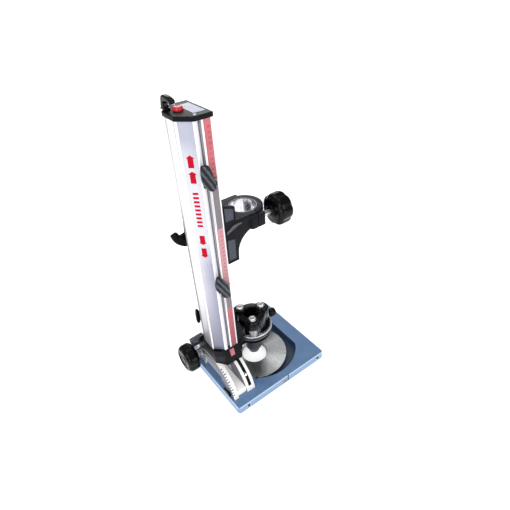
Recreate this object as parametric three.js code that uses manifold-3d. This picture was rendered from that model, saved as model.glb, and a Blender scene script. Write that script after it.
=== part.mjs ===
// Tilting drill stand with a three-roller bit guide.
// Millimetres, +Z up. +X is the front, -Y the near side, +Y the far side.
// The root origin lies on the underside of the base plate, on the tilt axis
// (which runs along X), below the middle of the column. The drill axis stands
// DRILL_AXIS_X in front of it, and every piece is drawn about that drill axis.
import * as THREE from 'three';
import { mergeVertices } from 'three/addons/utils/BufferGeometryUtils.js';
import Module from 'manifold-3d';

// --------------------------------------------------------- shared dimensions
const DRILL_AXIS_X = 107;
const GAP = 0.1;                     // between fixed pieces that rest on each other
const SIDES = [1, -1];               // far side, near side

const BASE_T = 24;                   // base plate thickness
const RIM_R = 105.4;                 // tilt quadrant rim, about the tilt axis
const REAR_X0 = -139, REAR_X1 = -125.5;
const FRONT_X0 = -98.5, FRONT_X1 = -74;
const SLOT_X0 = -90.3, SLOT_X1 = -81.7;
const TILT_STUD_Y = 47, TILT_STUD_Z = 82;

const COL_X0 = -137, COL_X1 = -77, COL_Y = 44;
const COL_Z0 = 145, COL_Z1 = 720;
const COL_BOLT_X = -87.5, COL_BOLT_Y = 31.5;
const TEE_X = -103;                  // centre of the column's side grooves

const CAR_X0 = -76.2;                // rear face of the carriage and guide bracket
const CLAMP_ARM_Y0 = COL_Y + 0.5, CLAMP_ARM_Y1 = 57;

// ----------------------------------------------------------------- materials
const BLUE = { color: 0x6487b4, roughness: 0.45, metalness: 0.15 };
const STEEL = { color: 0xb9bcc0, roughness: 0.28, metalness: 1 };
const CAST = { color: 0xd9dadd, roughness: 0.42, metalness: 0.85 };
const ALU = { color: 0xc6c7d2, roughness: 0.35, metalness: 0.9 };
const BLACK = { color: 0x17171a, roughness: 0.42, metalness: 0 };
const GLOSS = { color: 0x0d0d10, roughness: 0.18, metalness: 0 };
const RED = { color: 0xc91f30, roughness: 0.4, metalness: 0 };
const ZINC = { color: 0xa9adb2, roughness: 0.35, metalness: 1 };
const BRONZE = { color: 0x9a7a45, roughness: 0.4, metalness: 0.9 };
const STRIP = { color: 0xcf5a68, roughness: 0.5, metalness: 0 };
const GREY = { color: 0x8d9096, roughness: 0.4, metalness: 0.6 };
const NYLON = { color: 0xd8d4c8, roughness: 0.6, metalness: 0 };

// ----------------------------------------------------------- solids and meshes
const wasm = await Module();
wasm.setup();

// closed geometry to Manifold: weld the vertices, drop collapsed triangles
function solid(geometry) {
  geometry.deleteAttribute('normal');
  geometry.deleteAttribute('uv');
  const welded = mergeVertices(geometry, 1e-4);
  const index = welded.index.array;
  const triangles = [];
  for (let i = 0; i < index.length; i += 3) {
    const [a, b, c] = index.slice(i, i + 3);
    if (a !== b && b !== c && c !== a) triangles.push(a, b, c);
  }
  return new wasm.Manifold(new wasm.Mesh({
    numProp: 3,
    vertProperties: new Float32Array(welded.attributes.position.array),
    triVerts: new Uint32Array(triangles),
  }));
}

function geometryOf(body) {
  const mesh = body.getMesh();
  const geometry = new THREE.BufferGeometry();
  const positions = new Float32Array(mesh.vertProperties);
  geometry.setAttribute('position', new THREE.BufferAttribute(positions, 3));
  geometry.setIndex(new THREE.BufferAttribute(new Uint32Array(mesh.triVerts), 1));
  geometry.computeVertexNormals();
  return geometry;
}

const join = (first, ...rest) => rest.reduce((a, b) => a.add(b), first);
const cut = (first, ...rest) => rest.reduce((a, b) => a.subtract(b), first);
const posed = (body, pose) => solid(pose(geometryOf(body)));
const deg = THREE.MathUtils.degToRad;

const root = new THREE.Group();
const stand = new THREE.Group();
stand.position.set(DRILL_AXIS_X, 0, 0);
root.add(stand);

function piece(name, body, finish) {
  const mesh = new THREE.Mesh(geometryOf(body), new THREE.MeshStandardMaterial(finish));
  mesh.name = name;
  stand.add(mesh);
}

// ------------------------------------------------------------- basic shapes
const vectors = (points) => points.map(([x, y]) => new THREE.Vector2(x, y));

function slab(points, lo, hi, hole) {
  const shape = new THREE.Shape(vectors(points));
  if (hole) shape.holes.push(new THREE.Path(vectors(hole)));
  const options = { depth: hi - lo, bevelEnabled: false, steps: 1 };
  return new THREE.ExtrudeGeometry(shape, options).translate(0, 0, lo);
}
const SLAB_TO_X = new THREE.Matrix4().set(0, 0, 1, 0, 1, 0, 0, 0, 0, 1, 0, 0, 0, 0, 0, 1);
const SLAB_TO_Y = new THREE.Matrix4().set(0, 1, 0, 0, 0, 0, 1, 0, 1, 0, 0, 0, 0, 0, 0, 1);

// outlines: [x, y] run along Z, [y, z] run along X, [x, z] run along Y
const prismZ = (points, lo, hi, hole) => solid(slab(points, lo, hi, hole));
const prismX = (points, lo, hi) => solid(slab(points, lo, hi).applyMatrix4(SLAB_TO_X));
const prismY = (points, lo, hi) =>
  solid(slab(points.map(([x, z]) => [z, x]), lo, hi).applyMatrix4(SLAB_TO_Y));

// prism along Z whose bevels grow outward from the given outline
function bevelledPrism(points, lo, hi, bevel) {
  return solid(new THREE.ExtrudeGeometry(new THREE.Shape(vectors(points)), {
    depth: hi - lo - 2 * bevel,
    bevelEnabled: true,
    bevelThickness: bevel,
    bevelSize: bevel,
    bevelSegments: 2,
    steps: 1,
  }).translate(0, 0, lo + bevel));
}

function box(x0, x1, y0, y1, z0, z1) {
  return solid(new THREE.BoxGeometry(x1 - x0, y1 - y0, z1 - z0)
    .translate((x0 + x1) / 2, (y0 + y1) / 2, (z0 + z1) / 2));
}

const FACET_SHARE = 0.5;             // share of the nominal facets that round faces keep
const facets = (n) => (n > 16 ? Math.max(16, 4 * Math.round(n * FACET_SHARE / 4)) : n);

// cylinder from lo to hi along an axis; endR, the radius at hi, makes it a cone
function rod(r, lo, hi, seg, endR = r) {
  return new THREE.CylinderGeometry(endR, r, hi - lo, facets(seg))
    .rotateX(Math.PI / 2)
    .translate(0, 0, (lo + hi) / 2);
}
const rodZ = (r, x, y, lo, hi, seg, endR) => solid(rod(r, lo, hi, seg, endR).translate(x, y, 0));
const rodX = (r, y, z, lo, hi, seg, endR) =>
  solid(rod(r, lo, hi, seg, endR).rotateY(Math.PI / 2).translate(0, y, z));
const rodY = (r, x, z, lo, hi, seg) =>
  solid(rod(r, lo, hi, seg).rotateX(-Math.PI / 2).translate(x, 0, z));

// [radius, z] profile turned about Z
const turned = (profile, seg) =>
  solid(new THREE.LatheGeometry(vectors(profile), facets(seg)).rotateX(Math.PI / 2));

// ------------------------------------------------------------------ outlines
// angles in degrees
const polar = (r, angle) => [r * Math.cos(deg(angle)), r * Math.sin(deg(angle))];

function arc(cx, cy, r, a0, a1, n) {
  const points = [];
  for (let i = 0; i <= n; i++) {
    const [x, y] = polar(r, a0 + (a1 - a0) * i / n);
    points.push([cx + x, cy + y]);
  }
  return points;
}
const circle = (cx, cy, r, n) => arc(cx, cy, r, 0, 360 * (n - 1) / n, n - 1);
const hexZ = (r, x, y, lo, hi) => prismZ(circle(x, y, r, 6), lo, hi);
const hexX = (r, y, z, lo, hi) => prismX(circle(y, z, r, 6), lo, hi);

function roundedRect(x0, x1, y0, y1, r, n) {
  return [
    ...arc(x1 - r, y1 - r, r, 0, 90, n),
    ...arc(x0 + r, y1 - r, r, 90, 180, n),
    ...arc(x0 + r, y0 + r, r, 180, 270, n),
    ...arc(x1 - r, y0 + r, r, 270, 360, n),
  ];
}

// [y, z] arc about the tilt axis; angle from +Z, positive to +Y
function tiltArc(r, a0, a1, n) {
  const points = [];
  for (let i = 0; i <= n; i++) {
    const angle = deg(a0 + (a1 - a0) * i / n);
    points.push([r * Math.sin(angle), r * Math.cos(angle)]);
  }
  return points;
}
const sector = (r0, r1, a0, a1, n) =>
  [...tiltArc(r0, a0, a1, n), ...tiltArc(r1, a0, a1, n).reverse()];

// closes a +Y half outline with its mirror image
const mirrored = (half) => [...half, ...half.map(([x, y]) => [x, -y]).reverse()];

// ------------------------------------------------------------- shared parts
const GRIP = { lobes: 7, stepsPerLobe: 6, lobeDepth: 2.5, sharpness: 3.2, bevel: 5 };
const GRIP_HUB_R = 13, GRIP_BORE_R = 5.2;

function gripOutline(r) {
  const points = [];
  const steps = GRIP.lobes * GRIP.stepsPerLobe;
  for (let i = 0; i < steps; i++) {
    const angle = 2 * Math.PI * i / steps;
    const valley = Math.pow(Math.abs(Math.sin(angle * GRIP.lobes / 2)), GRIP.sharpness);
    const radius = r - GRIP.lobeDepth * valley;
    points.push([radius * Math.cos(angle), radius * Math.sin(angle)]);
  }
  return points;
}

// star grip on +Z, from z = 0 (hub face) to z = height (crown)
function starGrip(radius, height, hubHeight, boreDepth) {
  const head = bevelledPrism(gripOutline(radius - GRIP.bevel), hubHeight, height, GRIP.bevel);
  const grip = join(head, rodZ(GRIP_HUB_R, 0, 0, 0, hubHeight + 4, 28));
  return cut(grip, rodZ(GRIP_BORE_R, 0, 0, -1, boreDepth, 24));
}

// nylon shoe that slides in the column's front channel
const slideShoe = (z0, z1) => join(
  box(-96.4, -81.4, -18.4, 18.4, z0, z1),
  box(-82, CAR_X0 - 0.2, -11.5, 11.5, z0, z1),
);
const shoeTapping = (z) => rodX(2.8, 0, z, -92, -75, 16);

const shoeBolt = (z, shankX1, headX0, headX1) => cut(
  join(rodX(2.6, 0, z, -91, shankX1, 16), rodX(5.6, 0, z, headX0, headX1, 24)),
  rodX(2.6, 0, z, headX1 - 2.2, headX1 + 1.4, 6),
);

// arm along the far side of the column
const clampArm = (z0, z1, x1, rootY0, lowBevel) => join(
  prismY(
    [[-117, z0 + lowBevel], [-112, z0], [x1, z0], [x1, z1], [-112, z1], [-117, z1 - 4]],
    CLAMP_ARM_Y0, CLAMP_ARM_Y1,
  ),
  box(CAR_X0 + 0.4, x1, rootY0, CLAMP_ARM_Y1, z0, z1),
);
const clampArmHole = (z) => rodY(4.3, TEE_X, z, 40, 60, 24);

// stepped spindle into the side groove, hub and blade; outline in [x, z]
const clampLever = (z, hubR, bladeY1, outline) => join(
  rodY(2.8, TEE_X, z, 38.4, 46, 20),
  rodY(3.9, TEE_X, z, 44.6, 60, 20),
  rodY(hubR, TEE_X, z, 57.6, bladeY1 + 2, 28),
  prismY(outline, 60, bladeY1),
);

// ---------------------------------------------------------------- base plate
const BASE_X0 = -145.4, BASE_X1 = 145.6, BASE_Y = 129.7;
const BASE_CORNER_R = 6, BASE_EDGE = 2.4;
const RECESS_CX = 14.3, RECESS_R = 107, RECESS_FLAT_X = 105, RECESS_FLOOR = 4;
const BASE_BORE_R = 40, DISC_SEAT_R = 84;
const DISC_R = 91.5, DISC_TOP = 15.5, DISC_BOTTOM = 8, DISC_HOLE_R = 34, DISC_HOLE_TOP_R = 37.4;
const ROD_HOLE_X = [-115, 123], ROD_HOLE_R = 5.2, ROD_HOLE_Z = 14;
const DISC_SCREWS = [237, 123, 180].map((angle) => polar(95, angle));

function basePlate() {
  const outline = roundedRect(
    BASE_X0 + BASE_EDGE, BASE_X1 - BASE_EDGE,
    -BASE_Y + BASE_EDGE, BASE_Y - BASE_EDGE, BASE_CORNER_R, 6,
  );
  let plate = bevelledPrism(outline, 0, BASE_T, BASE_EDGE);
  // recess: a circle set forward of the drill axis and cut off by a straight edge
  const flatAngle = Math.acos((RECESS_FLAT_X - RECESS_CX) / RECESS_R) * 180 / Math.PI;
  const recess = arc(RECESS_CX, 0, RECESS_R, flatAngle, 360 - flatAngle, 48);
  plate = cut(plate, prismZ(recess, RECESS_FLOOR, BASE_T + 1));
  plate = join(plate, rodZ(DISC_SEAT_R, 0, 0, RECESS_FLOOR - 1, DISC_BOTTOM - GAP, 64));
  // clearance, seat and hole for each disc screw
  for (const [x, y] of DISC_SCREWS) {
    plate = cut(plate, rodZ(7, x, y, RECESS_FLOOR, BASE_T + 1, 24));
    plate = join(plate, rodZ(6, x, y, RECESS_FLOOR - 1, DISC_BOTTOM - GAP, 24));
    plate = cut(plate, rodZ(3.2, x, y, 2, BASE_T, 20));
  }
  plate = cut(plate, rodZ(BASE_BORE_R, 0, 0, -1, BASE_T, 64));
  for (const x of ROD_HOLE_X) {
    plate = cut(plate, rodY(ROD_HOLE_R, x, ROD_HOLE_Z, -BASE_Y - 1, BASE_Y + 1, 24));
  }
  return cut(
    plate,
    box(15.8, 18.2, -BASE_Y - 1, -125.5, 3, BASE_T + 1),         // notch in the near edge
    box(-4, 13, -BASE_Y - 1, -BASE_Y + 0.8, 5, 21),              // flat on the near edge
    box(-140.6, -139.4, -112, 112, BASE_T - 1, BASE_T + 1),      // groove along the rear edge
  );
}

const centreDisc = () => turned([
  [DISC_HOLE_R, DISC_BOTTOM],
  [DISC_R, DISC_BOTTOM],
  [DISC_R, DISC_TOP - 1],
  [DISC_R - 1, DISC_TOP],
  [DISC_HOLE_TOP_R, DISC_TOP],
  [DISC_HOLE_R, DISC_TOP - (DISC_HOLE_TOP_R - DISC_HOLE_R)],
  [DISC_HOLE_R, DISC_BOTTOM],
], 96);

const discScrew = ([x, y]) => cut(
  join(
    rodZ(5.6, x, y, DISC_TOP + GAP, DISC_TOP + 3.4, 24),
    rodZ(2.9, x, y, 2.4, DISC_TOP + 1, 20),
  ),
  hexZ(2, x, y, DISC_TOP + 1.6, DISC_TOP + 5),
);

piece('base_plate', basePlate(), BLUE);
piece('centre_disc', centreDisc(), STEEL);
DISC_SCREWS.forEach((at, i) => piece(`disc_screw_${i + 1}`, discScrew(at), ZINC));

// ----------------------------------------------------------- tilt quadrants
const SEAT_Z = BASE_T + GAP;
const REAR_CUT = [REAR_X0 - 1, REAR_X1 + 1], FRONT_CUT = [FRONT_X0 - 1, FRONT_X1 + 1];
const WEB_R = 80;                    // inner edge of the rear rim band
const STUD_SLOT_R = 94.5, STUD_SLOT_HALF = 6, STUD_SLOT_ENDS = [-18, 33.5];
const TEE_SLOT_R = 91, TEE_SLOT_ANGLE = 69, TEE_SLOT_UNDERCUT = 3.4;
const BRIDGE_TOP = 39, BRIDGE_Y = 97, BRIDGE_EDGE = 1.5;
const TIE_Y = 82, TIE_Z = 32;

// disc about the tilt axis, cut off at the seat
function seatedDisc(r) {
  const half = Math.acos(SEAT_Z / r) * 180 / Math.PI;
  return tiltArc(r, -half, half, 40).reverse();
}

const withTieHoles = (body, x0, x1) =>
  cut(body, ...SIDES.map((s) => rodX(3.4, s * TIE_Y, TIE_Z, x0, x1, 20)));

// web with a thicker band along the rim and a curved slot for the tilt stud
function rearQuadrant() {
  const slot = sector(
    STUD_SLOT_R - STUD_SLOT_HALF, STUD_SLOT_R + STUD_SLOT_HALF, ...STUD_SLOT_ENDS, 14,
  );
  const slotEnds = STUD_SLOT_ENDS.map((angle) => rodX(
    STUD_SLOT_HALF, STUD_SLOT_R * Math.sin(deg(angle)), STUD_SLOT_R * Math.cos(deg(angle)),
    ...REAR_CUT, 24,
  ));
  const window = [[-46, SEAT_Z - 1], [46, SEAT_Z - 1], [34, 62], [-34, 62]];
  const quadrant = cut(
    prismX(seatedDisc(RIM_R), REAR_X0, REAR_X1),
    prismX(seatedDisc(WEB_R), REAR_X0 - 1, REAR_X0 + 4),
    prismX(seatedDisc(WEB_R), REAR_X1 - 3, REAR_X1 + 1),
    prismX(slot, ...REAR_CUT),
    ...slotEnds,
    prismX(window, ...REAR_CUT),
  );
  return withTieHoles(quadrant, ...REAR_CUT);
}

// two rails with a T-slot between them, open underneath
function frontQuadrant() {
  const teeSlot = (r1, x0, x1) =>
    prismX(sector(TEE_SLOT_R, r1, -TEE_SLOT_ANGLE, TEE_SLOT_ANGLE, 32), x0, x1);
  const arch = [...arc(0, 0, 66, 24, 156, 24), [-60.3, SEAT_Z - 1], [60.3, SEAT_Z - 1]];
  const quadrant = cut(
    prismX(seatedDisc(RIM_R), FRONT_X0, FRONT_X1),
    teeSlot(RIM_R + 2, SLOT_X0, SLOT_X1),
    teeSlot(97, SLOT_X0 - TEE_SLOT_UNDERCUT, SLOT_X1 + TEE_SLOT_UNDERCUT),
    prismX(arch, ...FRONT_CUT),
  );
  return withTieHoles(quadrant, ...FRONT_CUT);
}

function quadrantBridge() {
  const outline = [
    [-BRIDGE_Y, SEAT_Z],
    [BRIDGE_Y, SEAT_Z],
    [BRIDGE_Y, BRIDGE_TOP - BRIDGE_EDGE],
    [BRIDGE_Y - BRIDGE_EDGE, BRIDGE_TOP],
    [-BRIDGE_Y + BRIDGE_EDGE, BRIDGE_TOP],
    [-BRIDGE_Y, BRIDGE_TOP - BRIDGE_EDGE],
  ];
  const bridge = prismX(outline, REAR_X1 + GAP, FRONT_X0 - GAP);
  return withTieHoles(bridge, REAR_X1 - 1, FRONT_X0 + 1);
}

// thin strip that wraps the near half of the rear rim
const degreeScale = () =>
  prismX(sector(RIM_R + 0.12, RIM_R + 0.7, -75, -2, 24), REAR_X0 + 0.4, REAR_X0 + 8.4);

const tieBolt = (y) => join(
  rodX(3, y, TIE_Z, REAR_X0 - 3.4, FRONT_X1 + 1, 20),
  hexX(5.6, y, TIE_Z, FRONT_X1 + GAP, FRONT_X1 + 5),
);
const withSocketHead = (bolt, y) => cut(
  join(bolt, rodX(5, y, TIE_Z, REAR_X0 - 5, REAR_X0 - GAP, 20)),
  hexX(2.5, y, TIE_Z, REAR_X0 - 6, REAR_X0 - 2.4),
);

// lever on the rear end of the near tie bolt
function quadrantClampLever() {
  const blade = [[-82, 27.4], [-62, 28.6], [-59.4, 32], [-62, 35.4], [-82, 37.6]];
  return cut(
    join(
      rodX(7.2, -TIE_Y, TIE_Z, REAR_X0 - 6.4, REAR_X0 - 0.4, 28),
      prismX(blade, REAR_X0 - 5.8, REAR_X0 - 1.4),
    ),
    rodX(3.3, -TIE_Y, TIE_Z, REAR_X0 - 3.9, REAR_X0 + 1, 20),
  );
}

// radial screw in the front slot, 52 degrees to the near side
const tiltLimitScrew = () => posed(
  join(rodZ(3.1, 0, 0, 92, 104.6, 20), rodZ(5.6, 0, 0, 91.6, 96, 6)),
  (g) => g.rotateX(deg(52)).translate((SLOT_X0 + SLOT_X1) / 2, 0, 0),
);

piece('rear_quadrant', rearQuadrant(), CAST);
piece('front_quadrant', frontQuadrant(), CAST);
piece('quadrant_bridge', quadrantBridge(), CAST);
piece('degree_scale', degreeScale(), CAST);
piece('tie_bolt_1', withSocketHead(tieBolt(TIE_Y), TIE_Y), ZINC);
piece('tie_bolt_2', tieBolt(-TIE_Y), ZINC);
piece('quadrant_clamp_lever', quadrantClampLever(), BLACK);
piece('tilt_limit_screw', tiltLimitScrew(), ZINC);

// ----------------------------------------------------------------- tilt foot
const SADDLE_R = RIM_R + 1.4;        // runs just outside the rims
const FOOT_TOP = COL_Z0 - GAP;
const KEY_X0 = SLOT_X0 + 0.3, KEY_X1 = SLOT_X1 - 0.3;

function tiltFoot() {
  const saddle = [
    ...tiltArc(SADDLE_R, -28, 28, 16),
    [53, 108], [45, FOOT_TOP - 6], [41, FOOT_TOP],
    [-41, FOOT_TOP], [-45, FOOT_TOP - 6], [-53, 108],
  ];
  const tongue = [
    [-37, 112], [-37, 95.2], [0, 58.2], [15.5, 42.8], [38, 42.8], [60, 62], [60, 96], [50, 112],
  ];
  const bossWeb = [[40, 100], [62, 99], [72, 118], [50, 124], [40, 140]];
  const spigot = mirrored([[-104, 30.5], [-117.5, 30.5], [-131, 17]]);
  let foot = prismX(saddle, -139, -72.4);
  // the saddle narrows towards the back like the column above it
  foot = cut(
    foot,
    prismZ([[-140, -54], [-112, -54], [-140, -28]], 90, 150),
    prismZ([[-140, 54], [-112, 54], [-140, 28]], 128, 150),
  );
  foot = join(
    foot,
    prismX(tongue, REAR_X1 + 0.5, FRONT_X0 - 0.5),     // between the quadrants
    rodX(12, 62, 110.5, -156, -120, 28),               // boss reaching out to the rear
    prismX(bossWeb, -139, -120),
    prismZ(spigot, FOOT_TOP - 2, 172),                 // inside the column
  );
  foot = cut(
    foot,
    rodX(5.2, TILT_STUD_Y, TILT_STUD_Z, REAR_X1 - 2, -104, 24),
    box(-110, -98, -6.5, 6.5, FOOT_TOP + 4, 176),
  );
  for (const s of SIDES) {
    const y = s * COL_BOLT_Y;
    foot = cut(
      foot, rodZ(4.2, COL_BOLT_X, y, 90, 150, 20), rodZ(7.4, COL_BOLT_X, y, 90, 124, 24),
    );
  }
  // seat for the slot key
  const keySeat = sector(RIM_R, SADDLE_R + 5, -4.5, 4.5, 4);
  return cut(foot, prismX(keySeat, KEY_X0 - 0.15, KEY_X1 + 0.15));
}

const slotKey = () => prismX(sector(98, SADDLE_R + 4.9, -4.3, 4.3, 4), KEY_X0, KEY_X1);

// on the near flank of the foot
const tiltPointer = () => prismX([
  [-50, 120.2], [-45.3, 138.6], [-44.5, 139.8], [-46.8, 140.6], [-48, 138.9], [-52.2, 121.6],
], -104, -92.5);

const footBolt = (y) => cut(
  join(rodZ(6.6, COL_BOLT_X, y, 116, 123.9, 20), rodZ(3.9, COL_BOLT_X, y, 123, 196, 16)),
  hexZ(3.4, COL_BOLT_X, y, 115, 120),
);

// shouldered stud; its star grip stands behind the rear quadrant
const tiltStud = () => join(
  rodX(4.9, TILT_STUD_Y, TILT_STUD_Z, -166, -105, 24),
  rodX(9.5, TILT_STUD_Y, TILT_STUD_Z, -153.6, -142.5, 28),
  rodX(12, TILT_STUD_Y, TILT_STUD_Z, -142.8, -139.4, 28),
);
const tiltKnob = () => posed(
  starGrip(35, 36, 4.5, 14),
  (g) => g.rotateY(-Math.PI / 2).translate(-154, TILT_STUD_Y, TILT_STUD_Z),
);

piece('tilt_foot', tiltFoot(), BLACK);
piece('slot_key', slotKey(), BRONZE);
piece('tilt_pointer', tiltPointer(), RED);
SIDES.forEach((s, i) => piece(`foot_bolt_${i + 1}`, footBolt(s * COL_BOLT_Y), ZINC));
piece('tilt_stud', tiltStud(), ZINC);
piece('tilt_knob', tiltKnob(), BLACK);

// -------------------------------------------------------------------- column
const COL_CHAMFER = 24;              // on the two rear corners
const CHAMFER_X = COL_X0 + COL_CHAMFER, CHAMFER_Y = COL_Y - COL_CHAMFER;
const TEE_MOUTH = 3.2, TEE_HALF = 5.5, TEE_LIP = 2.4, TEE_DEPTH = 7;
const COL_CUT = [COL_Z0 - 1, COL_Z1 + 1];
const SHALLOW = 0.8;                 // depth of the strip bed on each side face

function columnProfile() {
  // [x, y] of the far half, from the front face round to the rear
  const half = [
    [COL_X1, COL_Y - 1], [COL_X1 - 1, COL_Y],
    [-79.4, COL_Y], [-79.4, COL_Y - SHALLOW], [-98.4, COL_Y - SHALLOW], [-98.4, COL_Y],
    // tee groove
    [TEE_X + TEE_MOUTH, COL_Y], [TEE_X + TEE_MOUTH, COL_Y - TEE_LIP],
    [TEE_X + TEE_HALF, COL_Y - TEE_LIP], [TEE_X + TEE_HALF, COL_Y - TEE_DEPTH],
    [TEE_X - TEE_HALF, COL_Y - TEE_DEPTH], [TEE_X - TEE_HALF, COL_Y - TEE_LIP],
    [TEE_X - TEE_MOUTH, COL_Y - TEE_LIP], [TEE_X - TEE_MOUTH, COL_Y],
    // chamfer, with a small relief at each end
    [CHAMFER_X + 1.5, COL_Y], [CHAMFER_X - 0.6, COL_Y - 0.8],
    [CHAMFER_X - 2.2, COL_Y - 2.4], [CHAMFER_X - 1.5, COL_Y - 3.2],
    [COL_X0 + 3.2, CHAMFER_Y + 1.5], [COL_X0 + 2.2, CHAMFER_Y + 2.4],
    [COL_X0 + 0.4, CHAMFER_Y + 0.4], [COL_X0, CHAMFER_Y - 1.2],
    // fine groove in the rear face
    [COL_X0, 15.6], [COL_X0 + 0.9, 15], [COL_X0 + 0.9, 14], [COL_X0, 13.4],
  ];
  const cavity = mirrored([[-101, 33.8], [-118.2, 33.8], [-133.6, 18.6]]);
  // open front channel for the slide shoes, and its way through to the rear cavity
  let column = cut(
    prismZ(mirrored(half), COL_Z0, COL_Z1),
    box(-82, COL_X1 + 1, -12, 12, ...COL_CUT),
    box(-97, -81, -19, 19, ...COL_CUT),
    box(-102, -96, -6, 6, ...COL_CUT),
    prismZ(cavity, ...COL_CUT),
  );
  // side chambers, each with a bolt channel
  for (const s of SIDES) {
    const y = s * COL_BOLT_Y;
    const chamberY = [Math.min(s * 22.4, s * 40), Math.max(s * 22.4, s * 40)];
    column = cut(column, box(-94.4, -80.6, ...chamberY, ...COL_CUT));
    column = join(column, rodZ(7.4, COL_BOLT_X, y, COL_Z0, COL_Z1, 24));
    column = cut(column, rodZ(4.1, COL_BOLT_X, y, ...COL_CUT, 20));
  }
  return column;
}

const scaleStrip = () =>
  box(-98.2, -79.6, -COL_Y + 0.1, -COL_Y + 0.7, COL_Z0 + 1, COL_Z1 - 0.6);

piece('column_profile', columnProfile(), ALU);
piece('scale_strip', scaleStrip(), STRIP);

// ---------------------------------------------------------------- column cap
const CAP_Z0 = 720.2, CAP_Z1 = 729;
const CAP_SCREW_X = -106.5, CAP_SCREW_Y = 38;
const BUTTON_X = -114.5, BUTTON_Y = 6;

// column outline grown by an offset
function capOutline(offset) {
  const shift = 0.41 * offset;       // where the offset side meets the chamfer
  return mirrored([
    [COL_X1 + offset, COL_Y + offset],
    [CHAMFER_X - shift, COL_Y + offset],
    [COL_X0 - offset, CHAMFER_Y + shift],
  ]);
}

const columnCap = () => cut(
  join(
    prismZ(capOutline(2.6), CAP_Z0, CAP_Z1 - 2),
    prismZ(capOutline(1.6), CAP_Z1 - 3, CAP_Z1),
  ),
  box(-104, -80, -29.5, 29.5, CAP_Z1 - 0.8, CAP_Z1 + 1),
  rodZ(10, BUTTON_X, BUTTON_Y, 718, CAP_Z1 + 1, 32),
  ...SIDES.map((s) => rodZ(4.2, CAP_SCREW_X, s * CAP_SCREW_Y, 724.5, CAP_Z1 + 1, 20)),
);
const capScrew = (y) => cut(
  rodZ(4, CAP_SCREW_X, y, 724.6, CAP_Z1 + 1.2, 20),
  hexZ(1.8, CAP_SCREW_X, y, CAP_Z1 - 1, CAP_Z1 + 2),
);
const releaseButton = () => join(
  rodZ(9.4, BUTTON_X, BUTTON_Y, 722, 733.4, 32),
  rodZ(9.4, BUTTON_X, BUTTON_Y, 733.4, 735.6, 32, 7.6),
);

function cableHook() {
  // [y, height above the cap]
  const outline = [
    [33, GAP], [20, GAP], [22, 8], [21, 15], [8, 18], [-1, 14],
    [-7, 16], [-5, 24], [10, 26], [26, 25], [31, 12],
  ];
  return prismX(outline.map(([y, up]) => [y, CAP_Z1 + up]), -134, -123);
}

piece('column_cap', columnCap(), BLACK);
piece('cap_plate', box(-103.8, -80.2, -29.3, 29.3, CAP_Z1 - 0.7, CAP_Z1 + 0.2), CAST);
SIDES.forEach((s, i) => piece(`cap_screw_${i + 1}`, capScrew(s * CAP_SCREW_Y), ZINC));
piece('release_button', releaseButton(), RED);
piece('cable_hook', cableHook(), BLACK);

// ------------------------------------- return spring in the top of the column
const DRUM_X = -117, DRUM_Z = 686;

const springDrum = () => cut(
  join(
    rodY(13.4, DRUM_X, DRUM_Z, -8, 8, 36),
    rodY(15.8, DRUM_X, DRUM_Z, -11, -6.2, 36),
    rodY(15.8, DRUM_X, DRUM_Z, 6.2, 11, 36),
  ),
  rodY(4.2, DRUM_X, DRUM_Z, -12, 12, 20),
);

piece('drum_axle', rodY(3.9, DRUM_X, DRUM_Z, -30.4, 30.4, 20), ZINC);
piece('spring_drum', springDrum(), NYLON);
piece('spring_band', box(-103.4, -103, -4.6, 4.6, 489, 685), STEEL);

// ------------------------------------------------------------------ carriage
const CAR_Z0 = 396, CAR_Z1 = 541, CHEEK_X1 = -48, CHEEK_Y = 44;
const COLLAR_R = 45, COLLAR_BORE_R = 33, SLEEVE_R = 28.5, COLLAR_Z0 = 462, COLLAR_Z1 = 497;
const CLAMP_Y = -39, CLAMP_Z = 479, SPLIT_X0 = 3.8, SPLIT_X1 = 6, EAR_X1 = 24;
const SWEEP_X = 3, SWEEP_Z = 413, SWEEP_R = 50.5, FLANGE_T = 6;
const SWEEP_TOP = SWEEP_Z + SWEEP_R;
const SHOE_BOLT_Z = [430, 510];
const LOCK_Z = 438;

// back plate, two cheeks, and the arm that sweeps up into the collar
function carriageBody() {
  const cheekFrontZ = CAR_Z1 - (CHEEK_X1 - CAR_X0) * 11 / 28;
  const cheek = [
    [CAR_X0, CAR_Z0], [CHEEK_X1, CAR_Z0], [CHEEK_X1, cheekFrontZ], [CAR_X0, CAR_Z1],
  ];
  const foot = [[-63, CAR_Z0], [CHEEK_X1, CAR_Z0], ...arc(SWEEP_X, SWEEP_Z, SWEEP_R, 180, 90, 12)];
  const web = [...foot, [8, SWEEP_TOP], [8, 493], [-63, 493]];
  const flange = [
    ...foot, [20, SWEEP_TOP], [20, SWEEP_TOP + FLANGE_T],
    ...arc(SWEEP_X, SWEEP_Z, SWEEP_R + FLANGE_T, 90, 180, 12), [-53.5, 402], [-63, 402],
  ];
  const topPlate = [[-63, -CHEEK_Y], [4, -CHEEK_Y], [4, 50], [-30, 50], [-63, CHEEK_Y]];
  const ears = [
    [-14, -30], [-14, -45], [-9, -50.5], [EAR_X1 - 1.4, -50.5],
    [EAR_X1, -49], [EAR_X1, -25], [18, -20],
  ];
  return join(
    box(CAR_X0, -62, -CHEEK_Y, CHEEK_Y, CAR_Z0, 534),
    prismY(cheek, -CHEEK_Y, -36),
    prismY(cheek, 36, CHEEK_Y),
    prismY(web, -CHEEK_Y, -35),
    prismY(web, 35, CHEEK_Y),
    prismY(flange, -CHEEK_Y, CHEEK_Y),
    prismZ(topPlate, 489, COLLAR_Z1),
    box(-30, 16, 30, 50, 470, COLLAR_Z1),
    rodZ(COLLAR_R, 0, 0, COLLAR_Z0, COLLAR_Z1, 72),
    prismZ(ears, 461, 493),
  );
}

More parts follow.
